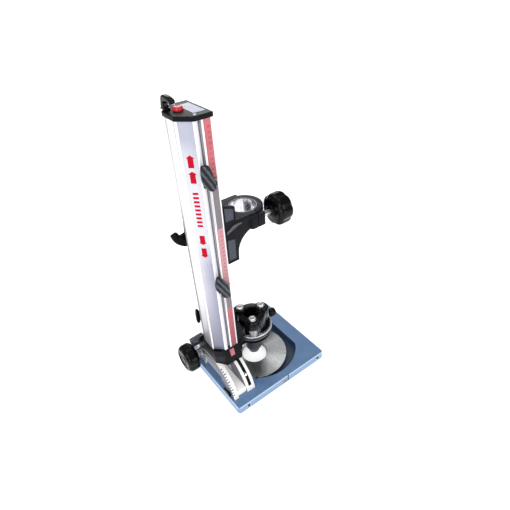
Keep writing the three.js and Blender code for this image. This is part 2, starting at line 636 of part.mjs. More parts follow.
function carriageFrame() {
  let frame = cut(
    carriageBody(),
    // bevels on the collar ears
    prismX([[-60, 450], [-44, 450], [-60, 466]], SPLIT_X1 - 0.2, EAR_X1 + 1),
    prismX([[-60, 484], [-47, 497], [-60, 497]], -20, 31),
    // bore, split and clamp screw
    rodZ(COLLAR_BORE_R, 0, 0, 440, COLLAR_Z1 + 1, 72),
    box(SPLIT_X0, SPLIT_X1, -60, -20, 440, COLLAR_Z1 + 1),
    rodX(5.3, CLAMP_Y, CLAMP_Z, -8, SPLIT_X1, 24),
    rodX(5.4, CLAMP_Y, CLAMP_Z, SPLIT_X1 - 1, EAR_X1 + 2, 24),
    rodX(7.2, CLAMP_Y, CLAMP_Z, EAR_X1, 46, 24),
  );
  // sunk panels on both cheeks, [x, z]
  const upperPanel = [[-73.6, 500], [-50.6, 500], [-50.6, 526], [-73.6, 535]];
  const lowerPanel = [[-73.4, 401], [-53, 401], [-52, 424], [-46, 444], [-73.4, 458]];
  for (const s of SIDES) {
    const depth = s > 0 ? [CHEEK_Y - 2.2, CHEEK_Y + 1] : [-CHEEK_Y - 1, -CHEEK_Y + 2.2];
    frame = cut(frame, prismY(upperPanel, ...depth), prismY(lowerPanel, ...depth));
  }
  // ledge on the near cheek, between the panels
  const ledge = [[-74, 472], [-44, 484], [-6, 489], [-6, 493], [-50, 493], [-74, 479]];
  frame = join(frame, prismY(ledge, -CHEEK_Y - 1.6, -CHEEK_Y + 0.5));
  frame = cut(join(frame, clampArm(417, 459, -62, 40, 4)), clampArmHole(LOCK_Z));
  for (const z of SHOE_BOLT_Z) {
    frame = cut(frame, rodX(3.4, 0, z, -77, -61, 20), rodX(6, 0, z, -67, -61, 24));
  }
  return frame;
}

// with a tab at the back, below the spring band
const carriageShoe = () => cut(
  join(slideShoe(404, 532), box(-104.6, -96, -5.3, 5.3, 474, 488)),
  ...SHOE_BOLT_Z.map(shoeTapping),
);

function collarSleeve() {
  const outerR = COLLAR_BORE_R - GAP, edge = 0.8;
  const sleeve = turned([
    [SLEEVE_R + edge, COLLAR_Z0 + 0.4],
    [outerR, COLLAR_Z0 + 0.4],
    [outerR, COLLAR_Z1 - 0.4],
    [COLLAR_BORE_R - 1, COLLAR_Z1],
    [SLEEVE_R + edge, COLLAR_Z1],
    [SLEEVE_R, COLLAR_Z1 - edge],
    [SLEEVE_R, COLLAR_Z0 + 1.2],
    [SLEEVE_R + edge, COLLAR_Z0 + 0.4],
  ], 72);
  return cut(sleeve, box(SPLIT_X0 - 0.4, SPLIT_X1 + 0.4, -40, -20, 440, 500));
}

const collarScrew = () => join(
  rodX(4.9, CLAMP_Y, CLAMP_Z, -7, 58, 24),
  rodX(6.2, CLAMP_Y, CLAMP_Z, EAR_X1 + 1, 44, 24),
);
const collarKnob = () => posed(
  starGrip(37, 43, 4, 15),
  (g) => g.rotateY(Math.PI / 2).translate(44.3, CLAMP_Y, CLAMP_Z),
);

const LOCK_BLADE = [                 // [x, z], hooked
  [-98, 445], [-103, 447.5], [-125.8, 443.5], [-131, 442.5], [-134.4, 451],
  [-138.5, 453.6], [-148.5, 451.6], [-152.6, 447.5], [-145, 428], [-140, 423.5],
  [-124.6, 410.5], [-118, 409], [-105, 413.5], [-97, 427],
];

piece('carriage_frame', carriageFrame(), BLACK);
piece('slide_shoe', carriageShoe(), NYLON);
SHOE_BOLT_Z.forEach((z, i) =>
  piece(`shoe_bolt_${i + 1}`, shoeBolt(z, -66, -66.8, -62.4), ZINC));
piece('collar_sleeve', collarSleeve(), STEEL);
piece('collar_screw', collarScrew(), ZINC);
piece('collar_knob', collarKnob(), BLACK);
piece('lock_lever', clampLever(LOCK_Z, 9.5, 68, LOCK_BLADE), BLACK);

// --------------------------------------------------------------------- stops
// block with a tee nut in the near groove
function stopBlock(z) {
  const y0 = -COL_Y - 8.4;
  const bevel = [[TEE_X - 10, -53], [TEE_X - 5, -53], [TEE_X - 10, -48]];
  const block = cut(
    join(
      box(TEE_X - 9.5, -98.6, y0, -COL_Y - 0.5, z - 17, z + 17),
      box(-99, -87, y0, -COL_Y - 3.6, z - 17, z - 8),
    ),
    prismZ(bevel, z - 20, z + 20),
  );
  return join(
    block,
    box(TEE_X - 5, TEE_X + 5, -COL_Y + 2.9, -COL_Y + 6.4, z - 9, z + 9),
    box(TEE_X - 2.8, TEE_X + 2.8, -COL_Y - 0.8, -COL_Y + 3.4, z - 9, z + 9),
  );
}

// the bar covers the scale; the wing outline is [x, z] from the lever's axis
function stop(prefix, z, barZ0, barZ1, wing) {
  piece(`${prefix}_block`, stopBlock(z), BLACK);
  piece(`${prefix}_bar`, box(-97.6, -80.2, -COL_Y - 3.4, -COL_Y - 0.4, barZ0, barZ1), GREY);
  const lever = join(
    rodY(9, TEE_X, z, -58, -COL_Y - 8.8, 28),
    prismY(wing.map(([dx, dz]) => [TEE_X + dx, z + dz]), -66, -56),
  );
  piece(`${prefix}_lever`, lever, BLACK);
}

stop('upper_stop', 612, 497, 607, [
  [-9, 12], [-13, 24], [-17, 32], [-12, 35], [-4, 26], [4, 15], [9, 5],
  [9, -6], [6, -17], [1, -22], [-5, -19], [-8, -9], [-9, 2],
]);
stop('lower_stop', 352, 276, 345, [
  [-12, 20], [-17, 36], [-19.5, 46], [-14, 49], [-6, 37], [3, 20], [9, 5],
  [10, -10], [9, -23], [4, -29], [-1, -26], [-6, -12], [-9, 2],
]);

// ----------------------------------------------------------------- bit guide
const GUIDE_PITCH_R = 32;            // drill axis to each roller crank
const RING_TEETH = 46, PINION_TEETH = 14, MODULE = 2;
const ADDENDUM = 1.5, DEDENDUM = 2.1;
const CRANK = 5, ROLLER_R = 11;
const TRIO = [0, 120, 240];          // roller directions, degrees
const JOURNALS = TRIO.map((angle) => polar(GUIDE_PITCH_R, angle));
const LOBE_R = 20.5, THROAT_R = 20.5, NOSE_BORE_R = 13;
const HOUSING_Z0 = 132, HOUSING_Z1 = 165, HOUSING_R = 49.5;
const HOUSING_X0 = -55, BRACKET_X1 = -55.2;
const GUIDE_BOLT_Z = 168, GUIDE_LEVER_Z = 182;
const RING_Z = 124.5, RING_KNOB_Y = 4;

// back of the guide, with arms above and below the adjusting ring
const bracketCore = cut(
  join(
    box(CAR_X0, -58, -40, 40, 150, 206),
    box(-71, -58, -34, 34, 100, 152),
    box(-60, -40, -26, 26, 133, 160),
    box(-60, -36, -24, 24, 100, 117),
  ),
  prismY([[-57, 207], [-57, 178], [-64, 207]], -50, 50),
  rodZ(54.2, 0, 0, 117.2, 131.6, 72),
);

// lobed housing round the three rollers, with a plate below the ring
function guideHousing() {
  let body = join(
    bracketCore,
    ...JOURNALS.map(([x, y]) => rodZ(LOBE_R, x, y, HOUSING_Z0, HOUSING_Z1, 40)),
    rodZ(38, 0, 0, HOUSING_Z0, HOUSING_Z1, 56),
    rodZ(HOUSING_R, 0, 0, HOUSING_Z0, 136, 72),
    rodZ(HOUSING_R, 0, 0, 104, 117, 72),
  );
  body = cut(
    body,
    rodZ(NOSE_BORE_R, 0, 0, 20, 110, 32),
    rodZ(THROAT_R, 0, 0, 109, 170, 40),
  );
  for (const [x, y] of JOURNALS) {
    body = cut(body, rodZ(16.6, x, y, 127, 166, 40), rodZ(4.3, x, y, 104, 118, 20));
  }
  // pillars that tie the two halves between the pinions, inside the ring gear
  for (const angle of [60, 180, 300]) {
    body = join(body, rodZ(6, ...polar(34, angle), 116, 133, 24));
  }
  return cut(body, box(-200, HOUSING_X0, -200, 200, 0, 400));
}

const guideNose = () => cut(
  join(
    rodZ(22, 0, 0, 46, 104 - GAP, 40),
    rodZ(15, 0, 0, 38.5, 46, 40, 22),
    rodZ(15, 0, 0, 29, 39, 40),
  ),
  rodZ(NOSE_BORE_R, 0, 0, 20, 110, 32),
);

const guideBracket = () => cut(
  join(
    cut(bracketCore, box(BRACKET_X1, 0, -200, 200, 0, 400)),
    clampArm(163, 199, -60, 36, 3),
  ),
  clampArmHole(GUIDE_LEVER_Z),
  rodX(3.4, 0, GUIDE_BOLT_Z, -77, -50, 20),
  rodX(6, 0, GUIDE_BOLT_Z, -64, -50, 24),
);

const GUIDE_BLADE = [                // [x, z]
  [-99, 187], [-103, 190], [-116, 191], [-118.6, 207], [-122, 212], [-127, 211], [-129.6, 190],
  [-129, 172], [-126, 165], [-120.5, 165.5], [-118, 174], [-103, 174], [-99, 177],
];

// Straight-flanked gear outline with `count` teeth. tipR and rootR are radii,
// width is the tooth's share of the pitch, phase the first tooth's angle (radians).
function gearOutline({ count, tipR, rootR, width, phase }) {
  const points = [];
  const pitch = 2 * Math.PI / count;
  const steps = [[rootR, -1.42], [tipR, -0.52], [tipR, 0.52], [rootR, 1.42]];
  for (let i = 0; i < count; i++) {
    for (const [radius, side] of steps) {
      const angle = phase + pitch * i + width * pitch * side;
      points.push([radius * Math.cos(angle), radius * Math.sin(angle)]);
    }
  }
  return points;
}

// outer band with a shallow groove, internal teeth and a boss for the knob
function adjustingRing() {
  const pitchR = MODULE * RING_TEETH / 2;
  const teeth = gearOutline({
    count: RING_TEETH, tipR: pitchR - ADDENDUM, rootR: pitchR + DEDENDUM, width: 0.225, phase: 0,
  });
  const ring = prismZ(circle(0, 0, 53.2, 56), 118, 131, teeth.reverse());
  const groove = cut(rodZ(55, 0, 0, 123.4, 125.8, 96), rodZ(52, 0, 0, 123, 126, 96));
  return cut(
    join(cut(ring, groove), rodX(5.5, RING_KNOB_Y, RING_Z, 51.5, 58, 24)),
    rodX(2.6, RING_KNOB_Y, RING_Z, 53, 60, 16),
  );
}

const ringKnob = () => join(
  rodX(2.4, RING_KNOB_Y, RING_Z, 53.6, 68, 16),
  rodX(8, RING_KNOB_Y, RING_Z, 58.3, 64, 28, 11.5),
  rodX(11.8, RING_KNOB_Y, RING_Z, 63.6, 77, 32),
  rodX(11.8, RING_KNOB_Y, RING_Z, 76.9, 80, 32, 9),
);

// turns the pinion so that a tooth meets the nearest gap of the ring
function pinionPhase(angle) {
  const pitch = 360 / RING_TEETH;
  const gapAngle = (Math.round(angle / pitch - 0.5) + 0.5) * pitch;
  return deg(angle + (gapAngle - angle) * RING_TEETH / PINION_TEETH);
}

// pinion, journals and eccentric pin in one piece
function crank(angle) {
  const [x, y] = polar(GUIDE_PITCH_R, angle);
  const pin = polar(GUIDE_PITCH_R + CRANK, angle);
  const pitchR = MODULE * PINION_TEETH / 2;
  const teeth = gearOutline({
    count: PINION_TEETH, tipR: pitchR + ADDENDUM, rootR: pitchR - DEDENDUM,
    width: 0.215, phase: pinionPhase(angle),
  });
  return cut(
    join(
      prismZ(teeth.map(([dx, dy]) => [dx + x, dy + y]), 118.6, 126.4),
      rodZ(3.9, x, y, 105, 119, 20),
      rodZ(3.4, ...pin, 126, 168, 20),
      rodZ(6, ...pin, 126, 131.9, 24),
      rodZ(10, x, y, 166.4, 179, 32),
      rodZ(10, x, y, 179, 180.2, 32, 8.8),
    ),
    hexZ(4, x, y, 177.6, 181),
  );
}

function roller(angle) {
  const pin = polar(GUIDE_PITCH_R + CRANK, angle);
  return cut(rodZ(ROLLER_R, ...pin, 132.4, 164.8, 36), rodZ(3.75, ...pin, 128, 166, 20));
}

// closes the housing, with a raised ring round each crank journal
function housingCover() {
  const z0 = HOUSING_Z1 + 0.3;
  const lobe = ([x, y]) => join(
    rodZ(LOBE_R, x, y, z0, 170, 40),
    rodZ(15.6, x, y, 170, 174.8, 40),
    rodZ(15.6, x, y, 174.8, 176.6, 40, 13.8),
  );
  return cut(
    join(rodZ(37.6, 0, 0, z0, 169, 56), ...JOURNALS.map(lobe)),
    rodZ(THROAT_R, 0, 0, 160, 171, 40),
    ...JOURNALS.map(([x, y]) => rodZ(10.35, x, y, 160, 190, 32)),
  );
}

piece('guide_nose', guideNose(), ZINC);
piece('guide_housing', guideHousing(), GLOSS);
piece('guide_bracket', guideBracket(), BLACK);
piece('guide_shoe', cut(slideShoe(154, 202), shoeTapping(GUIDE_BOLT_Z)), NYLON);
piece('guide_bolt', shoeBolt(GUIDE_BOLT_Z, -63, -63.9, -59.4), ZINC);
piece('guide_clamp_lever', clampLever(GUIDE_LEVER_Z, 9, 67, GUIDE_BLADE), BLACK);
piece('adjusting_ring', adjustingRing(), STEEL);
piece('ring_knob', ringKnob(), BLACK);
TRIO.forEach((angle, i) => {
  piece(`crank_${i + 1}`, crank(angle), STEEL);
  piece(`roller_${i + 1}`, roller(angle), STEEL);
});
piece('housing_cover', housingCover(), GLOSS);

export default root;
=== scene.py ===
"""Looks of a tilting drill stand: finishes, rounded parts and printed marks around the CAD frame.

Pieces are drawn in millimetres about the vertical drill axis (x = y = 0), z up from the floor.
The column stands at -x with its printed scale on the near (-y) side; the far side is +y.
place() carries each piece into the row frame, in metres.
"""

import math
from functools import cached_property

import bmesh
import bpy
from mathutils import Matrix, Vector


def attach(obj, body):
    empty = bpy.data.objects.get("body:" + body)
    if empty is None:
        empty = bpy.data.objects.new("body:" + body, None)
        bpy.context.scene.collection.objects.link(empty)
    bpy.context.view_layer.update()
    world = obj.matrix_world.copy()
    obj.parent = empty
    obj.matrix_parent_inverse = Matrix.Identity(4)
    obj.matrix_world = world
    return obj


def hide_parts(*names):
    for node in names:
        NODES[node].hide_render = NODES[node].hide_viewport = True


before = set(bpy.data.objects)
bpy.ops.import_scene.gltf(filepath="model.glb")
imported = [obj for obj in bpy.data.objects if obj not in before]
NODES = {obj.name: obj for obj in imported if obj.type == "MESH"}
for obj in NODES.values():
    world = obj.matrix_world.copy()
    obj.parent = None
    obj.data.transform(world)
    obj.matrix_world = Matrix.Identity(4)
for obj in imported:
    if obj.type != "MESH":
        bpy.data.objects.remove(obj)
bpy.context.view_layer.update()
SCENE = bpy.context.scene
SCENE.view_settings.view_transform = "Standard"
SCENE.view_settings.look = "None"

TAU = math.tau
AXIS = 107.0                           # x of the drill axis in the row frame
TO_ROW = Matrix.Translation((AXIS / 1000, 0, 0)) @ Matrix.Scale(0.001, 4)

# Driving sizes and places, mm
DISC_TOP = 15.5                        # top of the centre disc
ROD_HOLE_XS, ROD_HOLE_Z = (-115, 123), 14
TILT_Y, TILT_Z = 47, 82                # stud and star grip of the tilt clamp
COLLAR_Y, COLLAR_Z = -39, 479          # screw and star grip of the collar
COLUMN_LOW, COLUMN_TOP = 145, 720
COLUMN_X0, COLUMN_X1 = -137, -77       # outer faces across x
COLUMN_Y = 44                          # half width
CHAMFER = 24                           # column chamfer, along x and along y
CLAMP_X = -103                         # levers and stop wings on the column
CAP_SCREW_X, CAP_SCREW_Y = -106.5, 38
BUTTON_X, BUTTON_Y = -114.5, 6
LOBE_ANGLES = (0, 120, 240)
LOBE_RING, ROLLER_RING = 32, 37        # pitch radii of the cranks and of their rollers
LOBE_RADIUS = 20.5
RING_Y, RING_Z = 4, 124.5              # knob of the toothed ring
RING_TEETH, PINION_TEETH = 46, 14


def polar(radius, degrees, x=0.0, y=0.0):
    angle = math.radians(degrees)
    return (x + radius * math.cos(angle), y + radius * math.sin(angle))


def hexagon(radius, turned, x, y):
    return [polar(radius, 60 * k + turned, x, y) for k in range(6)]


# ------------------------------------------------------------------ mesh tools
def link(name, data):
    ob = bpy.data.objects.new(name, data)
    SCENE.collection.objects.link(ob)
    return ob


def baked(ob):
    """The object's evaluated shape as a new mesh."""
    graph = bpy.context.evaluated_depsgraph_get()
    return bpy.data.meshes.new_from_object(ob.evaluated_get(graph))


def to_mesh(edit, name):
    mesh = bpy.data.meshes.new(name)
    edit.to_mesh(mesh)
    edit.free()
    return mesh


def tidy(mesh, distance=1e-3):
    edit = bmesh.new()
    edit.from_mesh(mesh)
    bmesh.ops.remove_doubles(edit, verts=edit.verts, dist=distance)
    bmesh.ops.dissolve_degenerate(edit, edges=edit.edges, dist=distance)
    bmesh.ops.recalc_face_normals(edit, faces=edit.faces)
    edit.to_mesh(mesh)
    edit.free()
    mesh.update()
    return mesh


def rounded(points, radius, steps=4):
    """A closed outline with rounded corners; radius is one value or one for each point."""
    count = len(points)
    radii = radius if isinstance(radius, (list, tuple)) else [radius] * count
    out = []
    for i in range(count):
        corner = Vector(points[i])
        before = Vector(points[i - 1]) - corner
        after = Vector(points[(i + 1) % count]) - corner
        before_len, after_len = before.length, after.length
        before, after = before / before_len, after / after_len
        angle = math.acos(max(-1.0, min(1.0, before.dot(after))))
        if radii[i] <= 0 or angle > math.pi - 0.02 or angle < 0.02:
            out.append(tuple(corner))
            continue
        reach = min(radii[i] / math.tan(angle / 2), 0.46 * before_len, 0.46 * after_len)
        start, end = corner + before * reach, corner + after * reach
        for k in range(steps + 1):
            u = k / steps
            out.append(tuple(start * (1 - u) ** 2 + corner * 2 * u * (1 - u) + end * u ** 2))
    return out


def smooth_loop(points, steps=5):
    """A closed Catmull-Rom curve through the points."""
    out, count = [], len(points)
    for i in range(count):
        p0, p1, p2, p3 = (Vector(points[(i + k) % count]) for k in (-1, 0, 1, 2))
        for k in range(steps):
            t = k / steps
            out.append(tuple(0.5 * ((2 * p1) + (p2 - p0) * t
                                    + (2 * p0 - 5 * p1 + 4 * p2 - p3) * t * t
                                    + (3 * p1 - p0 - 3 * p2 + p3) * t ** 3)))
    return out


AXES = {
    "z": Matrix.Identity(4),
    # outline [y, z], runs along +x
    "x": Matrix(((0, 0, 1, 0), (1, 0, 0, 0), (0, 1, 0, 0), (0, 0, 0, 1))),
    # outline [x, z], runs along -y
    "y": Matrix(((1, 0, 0, 0), (0, 0, -1, 0), (0, 1, 0, 0), (0, 0, 0, 1))),
}
HALF_TURN = Matrix.Rotation(math.pi, 4, "Z")
TURN_AXES = {"z": AXES["z"], "x": AXES["x"], "-x": HALF_TURN @ AXES["x"],
             "y": HALF_TURN @ AXES["y"], "-y": AXES["y"]}


def prism(outline, low, high, axis="z", bevel=0.0, steps=3, holes=()):
    """An outline run from low to high along an axis, its rims rounded by bevel."""
    curve = bpy.data.curves.new("outline", "CURVE")
    curve.dimensions, curve.fill_mode = "2D", "BOTH"
    for loop in (outline, *holes):
        spline = curve.splines.new("POLY")
        spline.points.add(len(loop) - 1)
        for point, (across, up) in zip(spline.points, loop):
            point.co = (across, up, 0, 1)
        spline.use_cyclic_u = True
    curve.extrude = max((high - low) / 2 - bevel, 0.0)
    if bevel > 0:
        curve.bevel_depth, curve.bevel_resolution = bevel, max(steps - 1, 0)
        curve.offset = -bevel
    ob = link("outline", curve)
    mesh = baked(ob)
    bpy.data.objects.remove(ob)
    middle = (low + high) / 2
    shift = {"z": (0, 0, middle), "x": (middle, 0, 0), "y": (0, middle, 0)}[axis]
    mesh.transform(Matrix.Translation(shift) @ AXES[axis])
    return link("solid", tidy(mesh))


def turned(profile, segments=96, radius=None, axis="z", at=(0, 0, 0)):
    """A closed (r, z) profile turned about an axis; radius(angle, r) may change r."""
    edit = bmesh.new()
    rings, poles = [], {}
    for i in range(segments):
        angle = TAU * i / segments
        ring = []
        for j, (r, z) in enumerate(profile):
            if r < 1e-6:
                if j not in poles:
                    poles[j] = edit.verts.new((0, 0, z))
                ring.append(poles[j])
            else:
                reach = radius(angle, r) if radius else r
                ring.append(edit.verts.new((reach * math.cos(angle), reach * math.sin(angle), z)))
        rings.append(ring)
    for i in range(segments):
        ring, following = rings[i], rings[(i + 1) % segments]
        for j in range(len(profile)):
            k = (j + 1) % len(profile)
            loop = []
            for vert in (ring[j], following[j], following[k], ring[k]):
                if vert not in loop:
                    loop.append(vert)
            if len(loop) > 2:
                edit.faces.new(loop)
    bmesh.ops.recalc_face_normals(edit, faces=edit.faces)
    mesh = to_mesh(edit, "turned")
    mesh.transform(Matrix.Translation(at) @ TURN_AXES[axis])
    return link("turned", mesh)


def rod(radius, low, high, x=0.0, y=0.0, z=0.0, axis="z", edge=0.4, segments=48):
    """A round bar with softened rims from low to high along its axis."""
    e = min(edge, (high - low) / 3, radius / 3)
    profile = [(0, low), (radius - e, low), (radius - 0.3 * e, low + 0.3 * e), (radius, low + e),
               (radius, high - e), (radius - 0.3 * e, high - 0.3 * e), (radius - e, high),
               (0, high)]
    at = {"z": (x, y, 0), "x": (0, y, z), "y": (x, 0, z)}[axis]
    return turned(profile, segments, axis=axis, at=at)


def rectangle(x0, x1, y0, y1):
    return [(x0, y0), (x1, y0), (x1, y1), (x0, y1)]


def block(x_span, y_span, z_span, edge=0.8, steps=2):
    """A box with rounded edges."""
    (x0, x1), (y0, y1), (z0, z1) = x_span, y_span, z_span
    e = min(edge, (x1 - x0) / 3, (y1 - y0) / 3)
    outline = rounded(rectangle(x0, x1, y0, y1), e, steps)
    return prism(outline, z0, z1, bevel=min(e, (z1 - z0) / 3) * 0.7, steps=steps)


def boolean(body, operation, others):
    for other in others:
        modifier = body.modifiers.new("op", "BOOLEAN")
        modifier.operation, modifier.object, modifier.solver = operation, other, "MANIFOLD"
        mesh = baked(body)
        body.modifiers.clear()
        # a failed boolean comes back empty; the body is then left as it was
        if len(mesh.polygons):
            body.data = mesh
        bpy.data.objects.remove(other)
    return body


def join(body, *others):
    return boolean(body, "UNION", others)


def cut(body, *others):
    return boolean(body, "DIFFERENCE", others)


def merge(pieces):
    """Several closed bodies kept side by side in one mesh."""
    edit = bmesh.new()
    for piece in pieces:
        edit.from_mesh(piece.data)
        bpy.data.objects.remove(piece)
    return link("merged", to_mesh(edit, "merged"))


def place(piece, name, body, material, slot, *nodes, angle=32, clean=True):
    """Names a piece, puts it in the row frame and lets it ride on its body."""
    piece.name = piece.data.name = name
    mesh = piece.data
    mesh.transform(TO_ROW)
    if clean:
        tidy(mesh, 2e-6)
    mesh.materials.clear()
    mesh.materials.append(material)
    mesh.shade_smooth()
    mesh.set_sharp_from_angle(angle=math.radians(angle))
    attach(piece, body)
    if nodes:
        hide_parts(*nodes)


def smoothing_group():
    """Geometry nodes that smooth every face but keep edges over an angle sharp."""
    group = bpy.data.node_groups.new("shade_by_angle", "GeometryNodeTree")
    sockets = group.interface
    sockets.new_socket("Geometry", in_out="INPUT", socket_type="NodeSocketGeometry")
    sockets.new_socket("Angle", in_out="INPUT", socket_type="NodeSocketFloat")
    sockets.new_socket("Geometry", in_out="OUTPUT", socket_type="NodeSocketGeometry")
    new, wire = group.nodes.new, group.links.new
    source, result = new("NodeGroupInput"), new("NodeGroupOutput")
    faces, edges = new("GeometryNodeSetShadeSmooth"), new("GeometryNodeSetShadeSmooth")
    angle, compare = new("GeometryNodeInputMeshEdgeAngle"), new("FunctionNodeCompare")
    faces.domain, edges.domain = "FACE", "EDGE"
    faces.inputs["Shade Smooth"].default_value = True
    edges.inputs["Shade Smooth"].default_value = False
    compare.data_type, compare.operation = "FLOAT", "GREATER_THAN"
    wire(source.outputs["Geometry"], faces.inputs["Geometry"])
    wire(faces.outputs["Geometry"], edges.inputs["Geometry"])
    wire(angle.outputs["Unsigned Angle"], compare.inputs[0])
    wire(source.outputs["Angle"], compare.inputs[1])
    wire(compare.outputs["Result"], edges.inputs["Selection"])
    wire(edges.outputs["Geometry"], result.inputs["Geometry"])
    return group


def weld_group():
    """Geometry nodes that drop imported shading data and weld the facets."""
    group = bpy.data.node_groups.new("weld_facets", "GeometryNodeTree")
    for way in ("INPUT", "OUTPUT"):
        group.interface.new_socket("Geometry", in_out=way, socket_type="NodeSocketGeometry")
    new, wire = group.nodes.new, group.links.new
    source, result = new("NodeGroupInput"), new("NodeGroupOutput")
    last = source.outputs["Geometry"]
    for name in ("custom_normal", "sharp_face", "sharp_edge"):
        remove = new("GeometryNodeRemoveAttribute")
        remove.inputs["Name"].default_value = name
        wire(last, remove.inputs["Geometry"])
        last = remove.outputs["Geometry"]
    weld = new("GeometryNodeMergeByDistance")
    weld.inputs["Distance"].default_value = 2e-6
    wire(last, weld.inputs["Geometry"])
    wire(weld.outputs["Geometry"], result.inputs["Geometry"])
    return group


SMOOTH, WELD = smoothing_group(), weld_group()
ANGLE_INPUT = [i.identifier for i in SMOOTH.interface.items_tree if i.name == "Angle"][0]


def dress(material, edge, *names):
    """Keeps CAD nodes: welds facets, rounds edges by edge mm, smooths, gives the finish."""
    for name in names:
        ob = NODES[name]
        ob.modifiers.new("weld", "NODES").node_group = WELD
        if edge > 0:
            planar = ob.modifiers.new("planar", "DECIMATE")
            planar.decimate_type, planar.angle_limit = "DISSOLVE", math.radians(1.0)
            bevel = ob.modifiers.new("edge", "BEVEL")
            bevel.width, bevel.segments = edge / 1000, 2
            bevel.limit_method, bevel.angle_limit = "ANGLE", math.radians(34)
            bevel.use_clamp_overlap, bevel.miter_outer = True, "MITER_ARC"
        smooth = ob.modifiers.new("smooth", "NODES")
        smooth.node_group = SMOOTH
        smooth[ANGLE_INPUT] = math.radians(40)
        if edge > 0:
            ob.modifiers.new("normals", "WEIGHTED_NORMAL").keep_sharp = True
        ob.data.materials.clear()
        ob.data.materials.append(material)


# ------------------------------------------------------------------ node tools
def operator(kind):
    return lambda self, other: self.math(kind, other)


class Value:
    """A number in a node tree; arithmetic on it adds Math nodes."""

    def __init__(self, graph, socket):
        self.graph = graph
        self.socket = socket

    def math(self, kind, *others, clamp=False):
        return self.graph.math(kind, self, *others, clamp=clamp)

    __add__, __sub__ = operator("ADD"), operator("SUBTRACT")
    __mul__, __truediv__ = operator("MULTIPLY"), operator("DIVIDE")

    def __radd__(self, other):
        return self.graph.math("ADD", other, self)

    def __rsub__(self, other):
        return self.graph.math("SUBTRACT", other, self)

    def __abs__(self):
        return self.math("ABSOLUTE")

    def highest(self, other):
        return self.math("MAXIMUM", other)

    def ramp(self, low=0.3, high=0.7, to=(0, 1)):
        """Maps low..high onto the span `to`; the default band suits a noise."""
        node = self.graph.node("ShaderNodeMapRange", self, low, high, *to, clamp=True)
        return Value(self.graph, node.outputs[0])

    def above(self, limit, soft=0.0):
        """1 over the limit, 0 under it, with an edge 2 * soft wide."""
        if soft <= 0:
            return self.math("GREATER_THAN", limit)
        return self.ramp(limit - soft, limit + soft)

    def below(self, limit, soft=0.0):
        if soft <= 0:
            return self.math("LESS_THAN", limit)
        return self.ramp(limit - soft, limit + soft, to=(1, 0))

    def within(self, low, high, soft=0.0):
        return self.above(low, soft) * self.below(high, soft)

    def ticks(self, step, width):
        """1 on marks of a width that repeat at each step."""
        offset = abs(((self + 0.5 * step) / step).math("FRACT") - 0.5)
        return offset.below(width / step / 2)


def distance(across, up):
    return (across * across + up * up).math("SQRT")


class Graph:
    """Builds nodes in a tree."""

    def __init__(self, tree):
        self.tree = tree

    def put(self, socket, value):
        if isinstance(value, Value):
            value = value.socket
        if isinstance(value, bpy.types.NodeSocket):
            self.tree.links.new(value, socket)
        elif socket.type == "RGBA":
            socket.default_value = (*value, 1)
        else:
            socket.default_value = value

    def node(self, kind, *values, **settings):
        """A new node with its settings made and its first inputs filled."""
        node = self.tree.nodes.new(kind)
        for name, setting in settings.items():
            setattr(node, name, setting)
        for socket, value in zip(node.inputs, values):
            self.put(socket, value)
        return node

    def fill(self, node, inputs):
        for name, value in inputs.items():
            self.put(node.inputs[name], value)
        return node

    def math(self, kind, *values, clamp=False):
        node = self.node("ShaderNodeMath", *values, operation=kind, use_clamp=clamp)
        return Value(self, node.outputs[0])

    def split(self, vector):
        node = self.node("ShaderNodeSeparateXYZ", vector)
        return [Value(self, out) for out in node.outputs]


